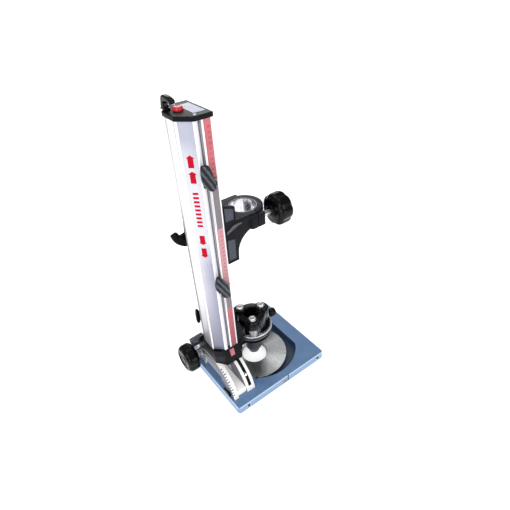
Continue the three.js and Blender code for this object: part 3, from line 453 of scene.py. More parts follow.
class Finish(Graph):
    """A material in drill frame millimetres, built up as colour layers and bumps."""

    INPUTS = {"rough": "Roughness", "metal": "Metallic", "coat": "Coat Weight",
              "coat_rough": "Coat Roughness", "aniso": "Anisotropic", "tangent": "Tangent",
              "spec": "Specular IOR Level"}

    def __init__(self, name):
        self.material = bpy.data.materials.new(name)
        self.material.use_nodes = True
        super().__init__(self.material.node_tree)
        coord = self.node("ShaderNodeTexCoord").outputs["Object"]
        self.point = self.node("ShaderNodeVectorMath", coord, (1000, 1000, 1000), (-AXIS, 0, 0),
                               operation="MULTIPLY_ADD").outputs[0]
        self.color = self.normal = None

    @cached_property
    def geometry(self):
        return self.node("ShaderNodeNewGeometry")

    @cached_property
    def xyz(self):
        return self.split(self.point)

    @cached_property
    def facing(self):
        """The x, y and z of the face normal."""
        local = self.node("ShaderNodeVectorTransform", self.geometry.outputs["True Normal"],
                          vector_type="NORMAL", convert_from="WORLD", convert_to="OBJECT")
        return self.split(local.outputs[0])

    def mix(self, amount, under, over):
        node = self.node("ShaderNodeMix", data_type="RGBA")
        self.put(node.inputs["Factor"], amount)
        colors = [i for i in node.inputs if i.type == "RGBA"]
        self.put(colors[0], under)
        self.put(colors[1], over)
        return [out for out in node.outputs if out.type == "RGBA"][0]

    def base(self, amount, low_color, high_color):
        self.color = self.mix(amount, low_color, high_color)

    def layer(self, amount, color):
        """Lays a colour over the ones before; amount is a mask times the layer's strength."""
        self.color = self.mix(amount, self.color, color)

    def scaled_point(self, scale, stretch):
        factors = tuple(scale * part for part in stretch)
        return self.node("ShaderNodeVectorMath", self.point, factors,
                         operation="MULTIPLY").outputs[0]

    def noise(self, scale, detail=3.0, rough=0.55, stretch=(1, 1, 1)):
        """Noise of a grain size of about 1/scale mm."""
        node = self.fill(self.node("ShaderNodeTexNoise"), {
            "Vector": self.scaled_point(scale, stretch), "Scale": 1.0,
            "Detail": detail, "Roughness": rough})
        return Value(self, node.outputs["Fac"])

    def cells(self, scale):
        node = self.fill(self.node("ShaderNodeTexVoronoi"), {
            "Vector": self.scaled_point(scale, (1, 1, 1)), "Scale": 1.0})
        return Value(self, node.outputs["Distance"])

    def edges(self, radius, gain=18.0):
        """1 along convex and concave edges, 0 on flats; radius in mm."""
        bevel = self.node("ShaderNodeBevel", radius / 1000, samples=4)
        dot = self.node("ShaderNodeVectorMath", bevel.outputs[0],
                        self.geometry.outputs["Normal"], operation="DOT_PRODUCT")
        bend = 1.0 - Value(self, dot.outputs["Value"])
        return bend.math("MULTIPLY", gain, clamp=True)

    def wear(self, radius=0.9, gain=18.0, grain=0.35, detail=4, band=(0.35, 0.7), least=0.15):
        """Edges rubbed unevenly: a noise over its band thins them down to least."""
        return self.edges(radius, gain) * self.noise(grain, detail).ramp(*band, to=(least, 1))

    def bump(self, height, strength, depth):
        """Adds a bump, depth in mm, on top of the ones before."""
        node = self.fill(self.node("ShaderNodeBump"), {
            "Strength": strength, "Distance": depth / 1000, "Height": height})
        if self.normal is not None:
            self.put(node.inputs["Normal"], self.normal)
        self.normal = node.outputs[0]

    def done(self, **values):
        inputs = {self.INPUTS[name]: value for name, value in values.items()}
        inputs |= {"Base Color": self.color, "Normal": self.normal}
        self.fill(self.tree.nodes["Principled BSDF"], inputs)
        return self.material


# ------------------------------------------------------------------- materials
# In every finish "patch" is a broad noise and "fine" the surface grain.
def scaled(color, factor):
    return tuple(min(1.0, part * factor) for part in color)


def moulded(name, color, rough=0.4, grain=3.0, grain_bump=0.25, coat=0.0,
            edge=None, edge_amount=0.0, spec=0.5, vary=0.18):
    """Moulded plastic or powder coat: fine grain, patchy gloss, edges worn to the edge colour."""
    paint = Finish(name)
    patch, fine = paint.noise(0.05, detail=4), paint.noise(grain, detail=2)
    paint.base(patch.ramp(0.35, 0.65), scaled(color, 1 - vary), scaled(color, 1 + vary))
    paint.layer(fine.ramp(0.3, 0.8, to=(0, 0.25)), scaled(color, 1.8))
    if edge:
        paint.layer(paint.wear() * edge_amount, edge)
    paint.bump(fine, strength=grain_bump, depth=0.05)
    paint.bump(paint.noise(0.18, detail=2), strength=0.12, depth=0.25)
    gloss = patch.ramp(to=(rough * 0.85, rough * 1.15)) + paint.noise(0.9).ramp(to=(-0.03, 0.05))
    return paint.done(rough=gloss, coat=coat, coat_rough=0.12, spec=spec)


def metal(name, color, rough, brush=(1, 1, 1), edge=0.35, metallic=1.0):
    """Bright metal with a fine grain; brush stretches the grain, edge brightens the rims."""
    paint = Finish(name)
    patch, fine = paint.noise(0.06, detail=4), paint.noise(2.5, stretch=brush)
    paint.base(patch.ramp(), scaled(color, 1 - 0.1), scaled(color, 1 + 0.1 * 0.6))
    paint.layer(fine.ramp(to=(0, 0.35)), scaled(color, 0.72))
    if edge:
        paint.layer(paint.edges(0.8) * edge, scaled(color, 1.4))
    paint.bump(fine, strength=0.12, depth=0.03)
    gloss = patch.ramp(to=(rough * 0.85, rough * 1.2)) + fine.ramp(to=(-0.05, 0.07))
    return paint.done(rough=gloss, metal=metallic)


def blue_enamel():
    paint = Finish("blue_enamel")
    x, y, z = paint.xyz
    face_x, face_y, face_z = paint.facing
    patch = paint.noise(0.03, detail=5)
    paint.base(patch.ramp(), (0.084, 0.170, 0.325), (0.108, 0.210, 0.385))
    paint.layer(paint.noise(1.6).ramp(0.45, 0.75, to=(0, 0.16)), (0.20, 0.30, 0.46))
    # painted shade darkens the round pocket about x 14.3
    pocket = distance(x - 14.3, y).below(107.4) * x.below(105.4) * z.below(23.4, soft=0.3)
    paint.layer(pocket * 0.9, (0.012, 0.026, 0.06))
    worn = paint.wear(radius=1.6, gain=12.0, grain=0.22, band=(0.38, 0.66), least=0.25)
    paint.layer(worn * (1.0 - pocket * 0.85) * 0.55, (0.42, 0.55, 0.75))
    # painted light: side walls outside the pocket painted paler
    paint.layer(face_z.below(0.5) * (1.0 - pocket) * 0.35, (0.30, 0.42, 0.62))
    # milled flat in the -y edge
    flat = x.within(-4.05, 13.05) * y.below(-128.6) * z.within(4.9, 21.1)
    paint.layer(flat * 0.9, (0.10, 0.13, 0.19))
    # painted highlight along the -y and -x edges
    near_edge_highlight = y.below(-127.6) * face_y.below(-0.3)
    left_edge_highlight = x.below(-143.6) * face_x.below(-0.3)
    rim = near_edge_highlight.highest(left_edge_highlight) * face_z.within(0.25, 0.97)
    paint.layer(rim * 0.7, (0.55, 0.72, 0.93))
    # painted shade inside the notch beside the flat
    notch_shade = (x.within(15.75, 18.25) * y.below(-125.2) * z.within(2.9, 24)
             * (1.0 - y.below(-129.6) * 1.0))
    paint.layer(notch_shade, (0.005, 0.006, 0.012))
    # painted shade inside the rod holes, by squared distance from their axes
    beside = ((x + 115) * (x + 115)).math("MINIMUM", (x - 123) * (x - 123))
    hole = ((z - 14) * (z - 14) + beside).below(28.5) * abs(y).below(129.3)
    paint.layer(hole * 0.93, (0.004, 0.005, 0.01))
    paint.bump(paint.noise(1.1, detail=2), strength=0.20, depth=0.10)
    paint.bump(paint.noise(0.12), strength=0.15, depth=0.6)
    gloss = patch.ramp(to=(0.33, 0.43)) + paint.noise(0.7).ramp(to=(-0.04, 0.05))
    return paint.done(rough=gloss, coat=0.25, coat_rough=0.22, spec=0.5)


def turned_disc():
    paint = Finish("turned_disc")
    x, y, _ = paint.xyz
    radius, angle = distance(x, y), y.math("ARCTAN2", x)
    rings = (radius * 7.5).math("SINE")
    grain_node = paint.node("ShaderNodeTexNoise", noise_dimensions="1D")
    paint.fill(grain_node, {"W": radius * 2.2, "Detail": 3})
    grain = Value(paint, grain_node.outputs["Fac"])
    paint.base(grain.ramp(), (0.40, 0.42, 0.43), (0.66, 0.68, 0.68))
    # painted reflection: bright and dark sectors that fan out from the middle
    reflection_fan = (((angle - math.radians(-60)) * 2.0).math("COSINE")
           + ((angle - math.radians(-66)) * 6.0).math("COSINE") * 0.35)
    top = paint.facing[2].above(0.5)
    paint.layer(reflection_fan.ramp(0.25, 1.3, to=(0, 0.75)) * top, (0.93, 0.95, 0.95))
    paint.layer(reflection_fan.ramp(-0.1, -1.25, to=(0, 0.88)) * top, (0.07, 0.095, 0.10))
    paint.layer(paint.noise(0.08, detail=5).ramp(0.5, 0.75, to=(0, 0.3)), (0.30, 0.32, 0.31))
    tangent = paint.node("ShaderNodeTangent", direction_type="RADIAL", axis="Z").outputs[0]
    paint.bump(rings * 0.5 + grain, strength=0.16, depth=0.06)
    smudge = paint.noise(0.2, detail=4).ramp(0.4, 0.7, to=(0, 0.08))
    return paint.done(rough=grain.ramp(to=(0.22, 0.36)) + smudge, metal=1.0, aniso=0.75,
                      tangent=tangent)


def bright_casting(name, front):
    """Pale casting of the rear quadrant, or of the front one; painted shade darkens the slots and
    the faces turned to -x.
    """
    paint = Finish(name)
    x, y, z = paint.xyz
    face_x = paint.facing[0]
    fine, patch = paint.noise(2.2), paint.noise(0.05, detail=4)
    paint.base(patch.ramp(), (0.86, 0.84, 0.84), (0.95, 0.93, 0.92))
    paint.layer(fine.ramp(0.4, 0.75, to=(0, 0.22)), (0.58, 0.56, 0.58))
    rim = distance(y, z)
    if front:
        # painted shade in the front quadrant's slot
        slot = x.within(-94.0, -78.0) * rim.below(104.7, soft=0.25) * rim.above(88.0) * z.above(30)
        middle = x.within(-90.35, -81.65) * rim.below(105.0) * rim.above(88)
        paint.layer(slot.math("ADD", middle, clamp=True) * 0.96, (0.010, 0.009, 0.014))
        # painted shade on the front quadrant's face turned to -x
        flank = face_x.below(-0.7) * x.below(-98.0)
        paint.layer(flank * 0.93, (0.055, 0.042, 0.080))
    else:
        # painted shade on the walls of the rear quadrant's slot
        slot = (rim.within(88.3, 100.7) * x.within(-138.7, -125.8) * abs(face_x).below(0.5)
                * y.above(-33))
        paint.layer(slot * 0.7, (0.20, 0.19, 0.23))
        # painted shade on the faces turned to -x
        paint.layer(face_x.below(-0.6) * 0.90, (0.040, 0.062, 0.110))
    worn = paint.wear(grain=0.3, detail=3, band=(0.35, 0.65), least=0.2)
    paint.layer(worn * 0.5, (1.0, 1.0, 1.0))
    paint.bump(fine, strength=0.2, depth=0.08)
    gloss = patch.ramp(to=(0.34, 0.46)) + fine.ramp(to=(-0.04, 0.06))
    return paint.done(rough=gloss, metal=0.12)


def degree_ticks():
    """The rear rim's strip: a tick every four degrees, longer at twelve."""
    paint = Finish("degree_strip")
    x, y, z = paint.xyz
    # 0 at the top, rising towards -y
    angle = (y * -1.0).math("ARCTAN2", z) * (180 / math.pi)
    fine = paint.noise(2.2)
    paint.base(fine.ramp(0.35, 0.7), (0.95, 0.93, 0.92), (0.86, 0.84, 0.84))
    inward = x - -138.6                # mm from the -x edge of the strip
    short = angle.ticks(step=4.0, width=1.60) * inward.below(4.2)
    long = angle.ticks(step=12.0, width=1.60) * inward.below(6.4)
    marks = short.highest(long) * angle.within(27.0, 69.0)
    paint.layer(marks * 0.93, (0.01, 0.01, 0.014))
    paint.bump(fine - marks * 3.0, strength=0.3, depth=0.1)
    return paint.done(rough=fine.ramp(to=(0.36, 0.46)), metal=0.10)


def extrusion():
    """Satin anodised profile, drawn along its length."""
    paint = Finish("anodised_extrusion")
    x, y, z = paint.xyz
    face_x, face_y, _ = paint.facing
    line = paint.noise(1.9, detail=4, rough=0.6, stretch=(1, 1, 0.006))
    broad = paint.noise(0.22, stretch=(1, 1, 0.012))
    speck = paint.noise(3.0, detail=2)
    paint.base(line.ramp(), (0.68, 0.67, 0.71), (0.86, 0.85, 0.88))
    paint.layer(broad.ramp(to=(0, 0.25)), (0.58, 0.58, 0.64))
    off_axis = abs(y)
    outward = (x * -1.0 + off_axis - 157.0) / math.sqrt(2)     # from the chamfer plane
    along = (x + off_axis) / math.sqrt(2)                      # across the chamfer

    # painted light and shade: the sunk chamfer panels are painted darker, with bright and dark
    # lengths up the column and a dark foot
    panel = paint.mix(along.ramp(-80.0, -56.0), (0.62, 0.62, 0.67), (0.33, 0.335, 0.45))
    panel = paint.mix(z.ramp(610.0, 690.0, to=(0, 0.95)), panel, (0.40, 0.415, 0.51))
    foot = paint.mix(along.ramp(-84.0, -58.0), (0.055, 0.054, 0.080), (0.125, 0.140, 0.205))
    panel = paint.mix(z.ramp(350.0, 125.0, to=(0, 0.97)), panel, foot)
    panel = paint.mix(z.within(440, 660, soft=28) * 0.80, panel, (0.70, 0.70, 0.73))
    panel = paint.mix(line.ramp(0.35, 0.65, to=(0, 0.30)), panel, (0.20, 0.20, 0.28))
    paint.layer(face_x.within(-0.85, -0.55) * outward.below(-1.0), panel)
    # painted highlight on the chamfer's raised rims
    ridge = face_x.within(-0.95, -0.35) * outward.above(-1.0)
    paint.layer(ridge * 0.7, (0.95, 0.94, 0.97))

    # painted light and shade on the -x face: paler overall, dark towards its foot, and its shaded
    # strip on the far side
    face = face_x.below(-0.9)
    paint.layer(face * 0.55, (0.86, 0.85, 0.88))
    paint.layer(face * z.ramp(330.0, 120.0, to=(0, 0.97)), (0.040, 0.038, 0.055))
    strip_shade_color = paint.mix(z.above(545.0, soft=12.0), (0.020, 0.020, 0.026), (0.30, 0.30, 0.32))
    paint.layer(face * y.above(11.6) * z.ramp(560.0, 500.0, to=(0.42, 0.97)), strip_shade_color)
    # painted shade along the panel's edge
    panel_edge_shade = face_x.within(-0.85, -0.55) * along.within(-52.6, -51.2)
    paint.layer(panel_edge_shade * 0.55, (0.16, 0.16, 0.22))

    # painted shade in the side grooves, on the walls beside them and in the inner channel; a darker
    # seam line
    groove = x.within(-106.3, -99.7) * off_axis.below(43.6, soft=0.2) * off_axis.above(36.0)
    paint.layer(groove * 0.70, (0.10, 0.105, 0.12))
    groove_wall_shade = abs(face_y).above(0.9) * x.within(-113.5, -106.2)
    paint.layer(groove_wall_shade * x.ramp(-112.0, -106.2, to=(0.0, 0.70)), (0.33, 0.345, 0.40))
    channel = off_axis.within(0, 20) * x.above(-102.2) * x.below(-77.6, soft=0.2)
    paint.layer(channel * 0.55, (0.22, 0.22, 0.25))
    # the first factor is 1 everywhere
    seam = (abs(off_axis - 14.5).above(-1) * off_axis.within(13.7, 15.3)
            * x.within(-136.9, -135.9))
    paint.layer(seam * 0.6, (0.25, 0.25, 0.30))
    paint.bump(line, strength=0.10, depth=0.05)
    paint.bump(speck, strength=0.06, depth=0.03)
    gloss = line.ramp(to=(0.26, 0.40)) + speck.ramp(to=(-0.03, 0.03))
    return paint.done(rough=gloss, metal=0.25)


def scale_print():
    """Red film with a white border; ticks each millimetre, longer at five and ten."""
    paint = Finish("scale_print")
    x, _, z = paint.xyz
    fine, patch = paint.noise(2.5), paint.noise(0.04, detail=4)
    paint.base(patch.ramp(), (0.42, 0.060, 0.080), (0.50, 0.100, 0.120))
    # pale length; painted shade darkens the foot; rubbed grain
    paint.layer(z.within(352, 500, soft=10) * 0.85, (0.50, 0.255, 0.285))
    paint.layer(z.ramp(290, 160, to=(0, 0.85)), (0.225, 0.020, 0.045))
    paint.layer(fine.ramp(0.45, 0.8, to=(0, 0.35)), (0.62, 0.33, 0.36))
    height = z - COLUMN_LOW
    from_left, from_right = x - -95.6, -80.6 - x               # inwards from the two borders
    left = (height.ticks(1.0, 0.34) * from_left.below(2.0)).highest(
        (height.ticks(5.0, 0.40) * from_left.below(3.2)).highest(
            height.ticks(10.0, 0.46) * from_left.below(4.4)))
    right = (height.ticks(5.0, 0.40) * from_right.below(1.8)).highest(
        height.ticks(10.0, 0.46) * from_right.below(3.0))
    marks = left.highest(right) * from_left.above(0) * from_right.above(0)
    paint.layer(marks * 0.60, (0.25, 0.02, 0.035))
    paint.layer(from_left.below(0).highest(from_right.below(0)), (0.93, 0.93, 0.95))
    paint.bump(fine, strength=0.08, depth=0.03)
    return paint.done(rough=patch.ramp(to=(0.30, 0.42)), coat=0.2, coat_rough=0.2)


def grey_bar():
    paint = Finish("stop_bar_grey")
    x = paint.xyz[0]
    fine, cells = paint.noise(1.6), paint.cells(1.4)
    paint.base(fine.ramp(0.35, 0.65), (0.115, 0.095, 0.105), (0.24, 0.205, 0.22))
    paint.layer(cells.ramp(0.15, 0.5, to=(0.4, 0)), (0.40, 0.36, 0.39))
    # white at both ends
    paint.layer(x.above(-82.4, soft=0.15), (0.92, 0.92, 0.94))
    paint.layer(x.below(-96.6, soft=0.12), (0.85, 0.85, 0.88))
    paint.bump(cells, strength=0.25, depth=0.10)
    return paint.done(rough=fine.ramp(to=(0.35, 0.5)), metal=0.5)


def plate_print():
    """Thin satin plate with a ruled blank form."""
    paint = Finish("blank_plate")
    x, y, _ = paint.xyz
    fine = paint.noise(2.4, stretch=(1, 0.02, 1))
    paint.base(fine.ramp(), (0.42, 0.44, 0.54), (0.54, 0.56, 0.66))

    def rule(across, at, width):
        return abs(across - at).below(width / 2)

    low, high = -101.9, -82.0                                  # x of the outer rules
    ink = rule(x, low, 0.45)
    for at in (-98.4, -95.0, -91.6, -88.2, -84.8):
        ink = ink.highest(rule(x, at, 0.9) * y.within(-26.0, 12.5))
    for at in (-27.4, 14.6, 27.4):
        ink = ink.highest(rule(y, at, 0.9) * x.within(low, high))
    ink = ink.highest(rule(x, high, 0.45)) * paint.facing[2].above(0.5)
    paint.layer(ink * 0.85, (0.08, 0.09, 0.16))
    paint.bump(fine, strength=0.08, depth=0.03)
    return paint.done(rough=fine.ramp(to=(0.28, 0.40)), metal=0.2)


def bore_steel():
    """Bright honed sleeve with painted reflection streaks down its bore and a dark top rim."""
    paint = Finish("honed_sleeve")
    x, y, z = paint.xyz
    around = paint.node("ShaderNodeCombineXYZ", y.math("ARCTAN2", x) * 5.0, z * 0.01)
    reflection_streak_node = paint.node("ShaderNodeTexNoise", noise_dimensions="2D")
    paint.fill(reflection_streak_node, {"Vector": around.outputs[0], "Scale": 1.0, "Detail": 4})
    reflection_streak = Value(paint, reflection_streak_node.outputs["Fac"])
    paint.base(reflection_streak.ramp(0.38, 0.62), (0.55, 0.55, 0.60), (0.96, 0.96, 0.98))
    hone = paint.noise(1.8, stretch=(1, 1, 4))
    rim = paint.facing[2].above(0.35) * z.above(490.0)
    paint.layer(rim * 0.88, (0.055, 0.057, 0.068))
    paint.bump(hone, strength=0.08, depth=0.03)
    return paint.done(rough=hone.ramp(to=(0.16, 0.3)), metal=0.95)


def carriage_paint():
    """Black casting paint; painted reflection greys the sunk panels, a painted highlight lights the
    rib's face and painted sheen lightens the collar's top.
    """
    paint = Finish("black_carriage_paint")
    x, y, z = paint.xyz
    _, face_y, face_z = paint.facing
    patch, fine = paint.noise(0.05, detail=4), paint.noise(2.0, detail=2)
    paint.base(patch.ramp(0.35, 0.65), (0.0020, 0.0020, 0.0030), (0.0048, 0.0050, 0.0070))
    paint.layer(fine.ramp(0.45, 0.8, to=(0, 0.25)), (0.018, 0.019, 0.026))
    flat = abs(face_y).above(0.8)
    # painted reflection in the sunk panels
    sunk = flat * abs(y).within(41.2, 43.2) * x.within(-75, -50)
    mottle = paint.noise(0.5).ramp(0.35, 0.65)
    sheen_tone = paint.mix(mottle, (0.046, 0.054, 0.070), (0.080, 0.090, 0.112))
    paint.layer(sunk * 0.95, sheen_tone)
    # painted highlight on the rib's face
    facet_highlight = flat * abs(y).above(44.7) * z.below(489.2) * z.above(472.0) * x.below(-36)
    paint.layer(facet_highlight * 0.85, (0.095, 0.098, 0.125))
    # painted sheen on the upward faces above the collar
    top_sheen = face_z.above(0.8) * z.above(492.0)
    mottle = paint.noise(0.3).ramp(0.35, 0.65)
    sheen_tone = paint.mix(mottle, (0.012, 0.0125, 0.018), (0.036, 0.038, 0.052))
    paint.layer(top_sheen * 0.9, sheen_tone)
    paint.layer(paint.wear() * 0.3, (0.10, 0.11, 0.14))
    paint.bump(fine, strength=0.3, depth=0.05)
    paint.bump(paint.noise(0.18, detail=2), strength=0.12, depth=0.25)
    gloss = patch.ramp(to=(0.30, 0.42)) + paint.noise(0.9).ramp(to=(-0.03, 0.05))
    return paint.done(rough=gloss, spec=0.10)


def ring_steel():
    """Turned ring: bright lips above and below a dark, knurled belt."""
    paint = Finish("belted_ring_steel")
    x, y, z = paint.xyz
    fine = paint.noise(2.4, stretch=(0.2, 0.2, 3.0))
    paint.base(fine.ramp(), (0.62, 0.62, 0.65), (0.90, 0.90, 0.93))
    angle, radius = y.math("ARCTAN2", x), distance(x, y)
    belt = z.within(119.7, 128.9, soft=0.15) * radius.above(50.8) * radius.below(53.6)
    ribs = (angle * 220.0).math("SINE")
    knurling = paint.mix(ribs.ramp(-0.2, 0.9), (0.010, 0.010, 0.013), (0.045, 0.046, 0.055))
    paint.layer(belt * 0.96, knurling)
    paint.bump(fine + ribs * belt * 0.5, strength=0.15, depth=0.05)
    return paint.done(rough=fine.ramp(to=(0.16, 0.26)) + belt * 0.15,
                      metal=belt.ramp(0, 1, to=(0.9, 0.0)))


def lever_plastic():
    """Black lever plastic with long painted highlight streaks along the wing."""
    paint = Finish("streaked_lever_plastic")
    x, _, z = paint.xyz
    fine, patch = paint.noise(2.0, detail=2), paint.noise(0.09)
    # painted highlight: long streaks slanting across the wing
    slant = x * 0.88 + z * 0.47
    highlight_wave = (slant * 0.66 + patch * 2.5).math("SINE")
    paint.base(highlight_wave.ramp(-0.3, 0.9), (0.0035, 0.0040, 0.0060), (0.085, 0.095, 0.125))
    paint.layer(fine.ramp(0.4, 0.7, to=(0, 0.4)), (0.012, 0.013, 0.018))
    # the rims turned away from y stay plain black, without the painted highlight streaks
    paint.layer(abs(paint.facing[1]).below(0.55) * 0.8, (0.010, 0.011, 0.016))
    paint.bump(fine, strength=0.4, depth=0.05)
    return paint.done(rough=fine.ramp(to=(0.26, 0.38)), spec=0.22)


def guide_paint():
    """Gloss black casting enamel with painted reflections on two bands of its outer walls."""
    paint = Finish("black_guide_enamel")
    x, y, z = paint.xyz
    face_x, face_y, _ = paint.facing
    patch, fine = paint.noise(0.05, detail=4), paint.noise(1.2, detail=2)
    paint.base(patch.ramp(0.35, 0.65), (0.0018, 0.0018, 0.0026), (0.0038, 0.0038, 0.0052))
    # painted reflection on the near-left lobe
    toward_near_left = face_x * -0.60 + face_y * -0.80
    radius = distance(x, y)
    lobe_reflection = toward_near_left.above(0.86) * radius.above(37.0) * z.within(124.0, 153.0, soft=2.0)
    mottle = paint.noise(0.22, stretch=(1, 1, 0.2)).ramp(0.38, 0.62)
    paint.layer(lobe_reflection * 0.9, paint.mix(mottle, (0.030, 0.033, 0.042), (0.42, 0.43, 0.46)))
    # painted reflection on the near-right flank
    toward_near_right = face_x * 0.50 + face_y * -0.86
    flank = toward_near_right.above(0.88) * radius.above(30.0) * z.within(118.0, 156.0, soft=2.0)
    paint.layer(flank * 0.85, (0.075, 0.080, 0.095))
    paint.layer(paint.wear() * 0.25, (0.10, 0.10, 0.12))
    paint.bump(fine, strength=0.06, depth=0.05)
    return paint.done(rough=patch.ramp(to=(0.12, 0.17)), spec=0.22)


def foot_paint():
    """Black casting paint with a painted highlight greying the top of the boss."""
    paint = Finish("black_foot_paint")
    x, _, z = paint.xyz
    patch, fine = paint.noise(0.05, detail=4), paint.noise(2.0, detail=2)
    paint.base(patch.ramp(0.35, 0.65), (0.0022, 0.0024, 0.0034), (0.0038, 0.0040, 0.0056))
    paint.layer(fine.ramp(0.45, 0.8, to=(0, 0.25)), (0.011, 0.0115, 0.016))
    # painted highlight on the boss's top
    boss = x.below(-120.5) * paint.facing[2].above(0.2, soft=0.3) * z.within(108.0, 126.0)
    mottle = paint.noise(0.3).ramp(0.35, 0.65)
    paint.layer(boss * 0.9, paint.mix(mottle, (0.055, 0.055, 0.068), (0.155, 0.155, 0.185)))
    paint.layer(paint.wear() * 0.3, (0.10, 0.11, 0.14))
    paint.bump(fine, strength=0.3, depth=0.05)
    return paint.done(rough=patch.ramp(to=(0.32, 0.42)), spec=0.10)


BLUE = blue_enamel()
DISC = turned_disc()
CAST = bright_casting("bright_casting", front=False)
CAST_FRONT = bright_casting("front_casting", front=True)
DEGREES = degree_ticks()
# painted light: the bridge sits in a narrow recess, so it gets a faint glow of its own
GLOWING_BRIDGE = bright_casting("bright_casting", front=False)
bridge_inputs = GLOWING_BRIDGE.node_tree.nodes["Principled BSDF"].inputs
bridge_inputs["Emission Color"].default_value = (1.0, 0.98, 0.95, 1)
bridge_inputs["Emission Strength"].default_value = 0.26
ALU, SCALE, BAR, PLATE, SLEEVE = extrusion(), scale_print(), grey_bar(), plate_print(), bore_steel()
ENAMEL_BLACK = moulded("black_powder_coat", (0.0028, 0.0030, 0.0042), rough=0.36, grain=2.0,
                       grain_bump=0.30, edge=(0.10, 0.11, 0.14), edge_amount=0.35, spec=0.10)
GLOSS = moulded("black_gloss_enamel", (0.0022, 0.0022, 0.0030), rough=0.14, grain=1.2,
                grain_bump=0.06, coat=0.05, edge=(0.10, 0.10, 0.12), edge_amount=0.25, spec=0.22)
GRIP = moulded("black_grip_plastic", (0.0016, 0.0016, 0.0024), rough=0.20, grain=1.8,
               grain_bump=0.12, edge=(0.04, 0.04, 0.05), edge_amount=0.15, spec=0.17)
LEVER, GUIDE, FOOT = lever_plastic(), guide_paint(), foot_paint()
CARRIAGE, RING = carriage_paint(), ring_steel()
ZINC = metal("zinc_plated_steel", (0.66, 0.67, 0.69), rough=0.27)
STEEL = metal("ground_steel", (0.70, 0.71, 0.73), rough=0.22, brush=(1, 1, 0.15))
BAND = metal("spring_steel", (0.42, 0.44, 0.50), rough=0.25, brush=(1, 1, 0.02), edge=0)
DARK_STEEL = metal("blackened_steel", (0.110, 0.120, 0.145), rough=0.30, brush=(1, 1, 0.2),
                   metallic=0.7)
BRONZE = metal("bearing_bronze", (0.62, 0.42, 0.20), rough=0.35)
NYLON = moulded("natural_nylon", (0.62, 0.59, 0.50), rough=0.5, grain=1.2, grain_bump=0.15,
                vary=0.06)
RED_PLASTIC = moulded("red_plastic", (0.58, 0.014, 0.022), rough=0.24, grain=1.4,
                      grain_bump=0.10, coat=0.35, vary=0.10)
RED_PRINT = moulded("red_print", (0.42, 0.0022, 0.018), rough=0.45, grain=2.2, grain_bump=0.10,
                    vary=0.08, spec=0.06)
# spare finish that no piece wears
moulded("white_print", (0.90, 0.86, 0.87), rough=0.45, grain=2.2, grain_bump=0.08, vary=0.04)
DUSTY_RED = moulded("faded_red_paint", (0.40, 0.115, 0.145), rough=0.45, grain=1.8,
                    grain_bump=0.15, vary=0.15)
DIGIT_RED = moulded("dark_red_print", (0.22, 0.010, 0.022), rough=0.42, grain=2.2,
                    grain_bump=0.06, vary=0.1)
BLACK_PRINT = moulded("black_print", (0.010, 0.010, 0.014), rough=0.45, grain=2.2,
                      grain_bump=0.08)
MILLED = metal("milled_grey", (0.30, 0.34, 0.42), rough=0.38, brush=(0.1, 1, 1), metallic=0.7)

# ------------------------------------------------------------------- base
dress(BLUE, 0.9, "base_plate")

# centre disc (r, z), with shallow turned grooves across its top
disc = [(34.0, 8.3), (34.4, 8.0), (91.0, 8.0), (91.5, 8.5), (91.5, 14.6), (91.2, 15.25),
        (90.5, DISC_TOP)]
GROOVE_PITCH, GROOVE_FLOOR = 1.9, 15.41
groove_r = 89.2
while groove_r > 40.5:
    disc += [(groove_r, DISC_TOP), (groove_r - 0.22, GROOVE_FLOOR),
             (groove_r - 0.55, GROOVE_FLOOR), (groove_r - 0.77, DISC_TOP)]
    groove_r -= GROOVE_PITCH
disc += [(38.2, DISC_TOP), (37.4, 15.35), (34.25, 12.2), (34.0, 11.7)]
place(turned(disc, 192), "turned_centre_disc", "base", DISC, "turned_steel", "centre_disc",
      clean=False)

DISC_SCREW = [(0, 2.4), (2.9, 2.4), (2.9, 15.6), (5.3, 15.6), (5.6, 15.9), (5.6, 17.9),
              (5.2, 18.6), (4.4, 18.95), (0, 19.0)]            # (r, z)
for i, degrees in enumerate((237, 123, 180), 1):
    x, y = polar(95, degrees)
    screw = cut(turned(DISC_SCREW, 48, at=(x, y, 0)), prism(hexagon(2.0, 15, x, y), 16.8, 21))
    place(screw, f"disc_screw_head_{i}", "base", DARK_STEEL, "zinc_steel", f"disc_screw_{i}")

dress(CAST, 0.7, "rear_quadrant")
dress(CAST_FRONT, 0.7, "front_quadrant")
dress(GLOWING_BRIDGE, 0.5, "quadrant_bridge")
dress(DEGREES, 0, "degree_scale")
dress(ZINC, 0.3, "tie_bolt_1", "tie_bolt_2")
dress(ZINC, 0.2, "tilt_limit_screw")

# quadrant clamp lever: hub (r, x) with a socket, and a paddle (y, z)
QUADRANT_Y, QUADRANT_Z = -82, 32
hub = turned([(0, -145.4), (5.6, -145.4), (6.7, -145.0), (7.2, -144.2), (7.2, -140.2),
              (6.8, -139.4), (3.3, -139.4), (3.3, -142.9), (0, -142.9)],
             56, axis="x", at=(0, QUADRANT_Y, QUADRANT_Z))
PADDLE = [(-85, 27.2), (-76, 27.6), (-64, 28.4), (-60.2, 30), (-59.6, 32), (-60.2, 34),
          (-64, 35.8), (-76, 37.2), (-85, 37.4), (-88, 32)]
paddle = prism(smooth_loop(PADDLE), -144.9, -140.4, "x", bevel=1.3, steps=4)
paddle = cut(paddle, rod(3.3, -142.9, -139, y=QUADRANT_Y, z=QUADRANT_Z, axis="x", edge=0))
place(join(hub, paddle), "moulded_quadrant_lever", "quadrant_clamp", GRIP, "black_grip",
      "quadrant_clamp_lever")

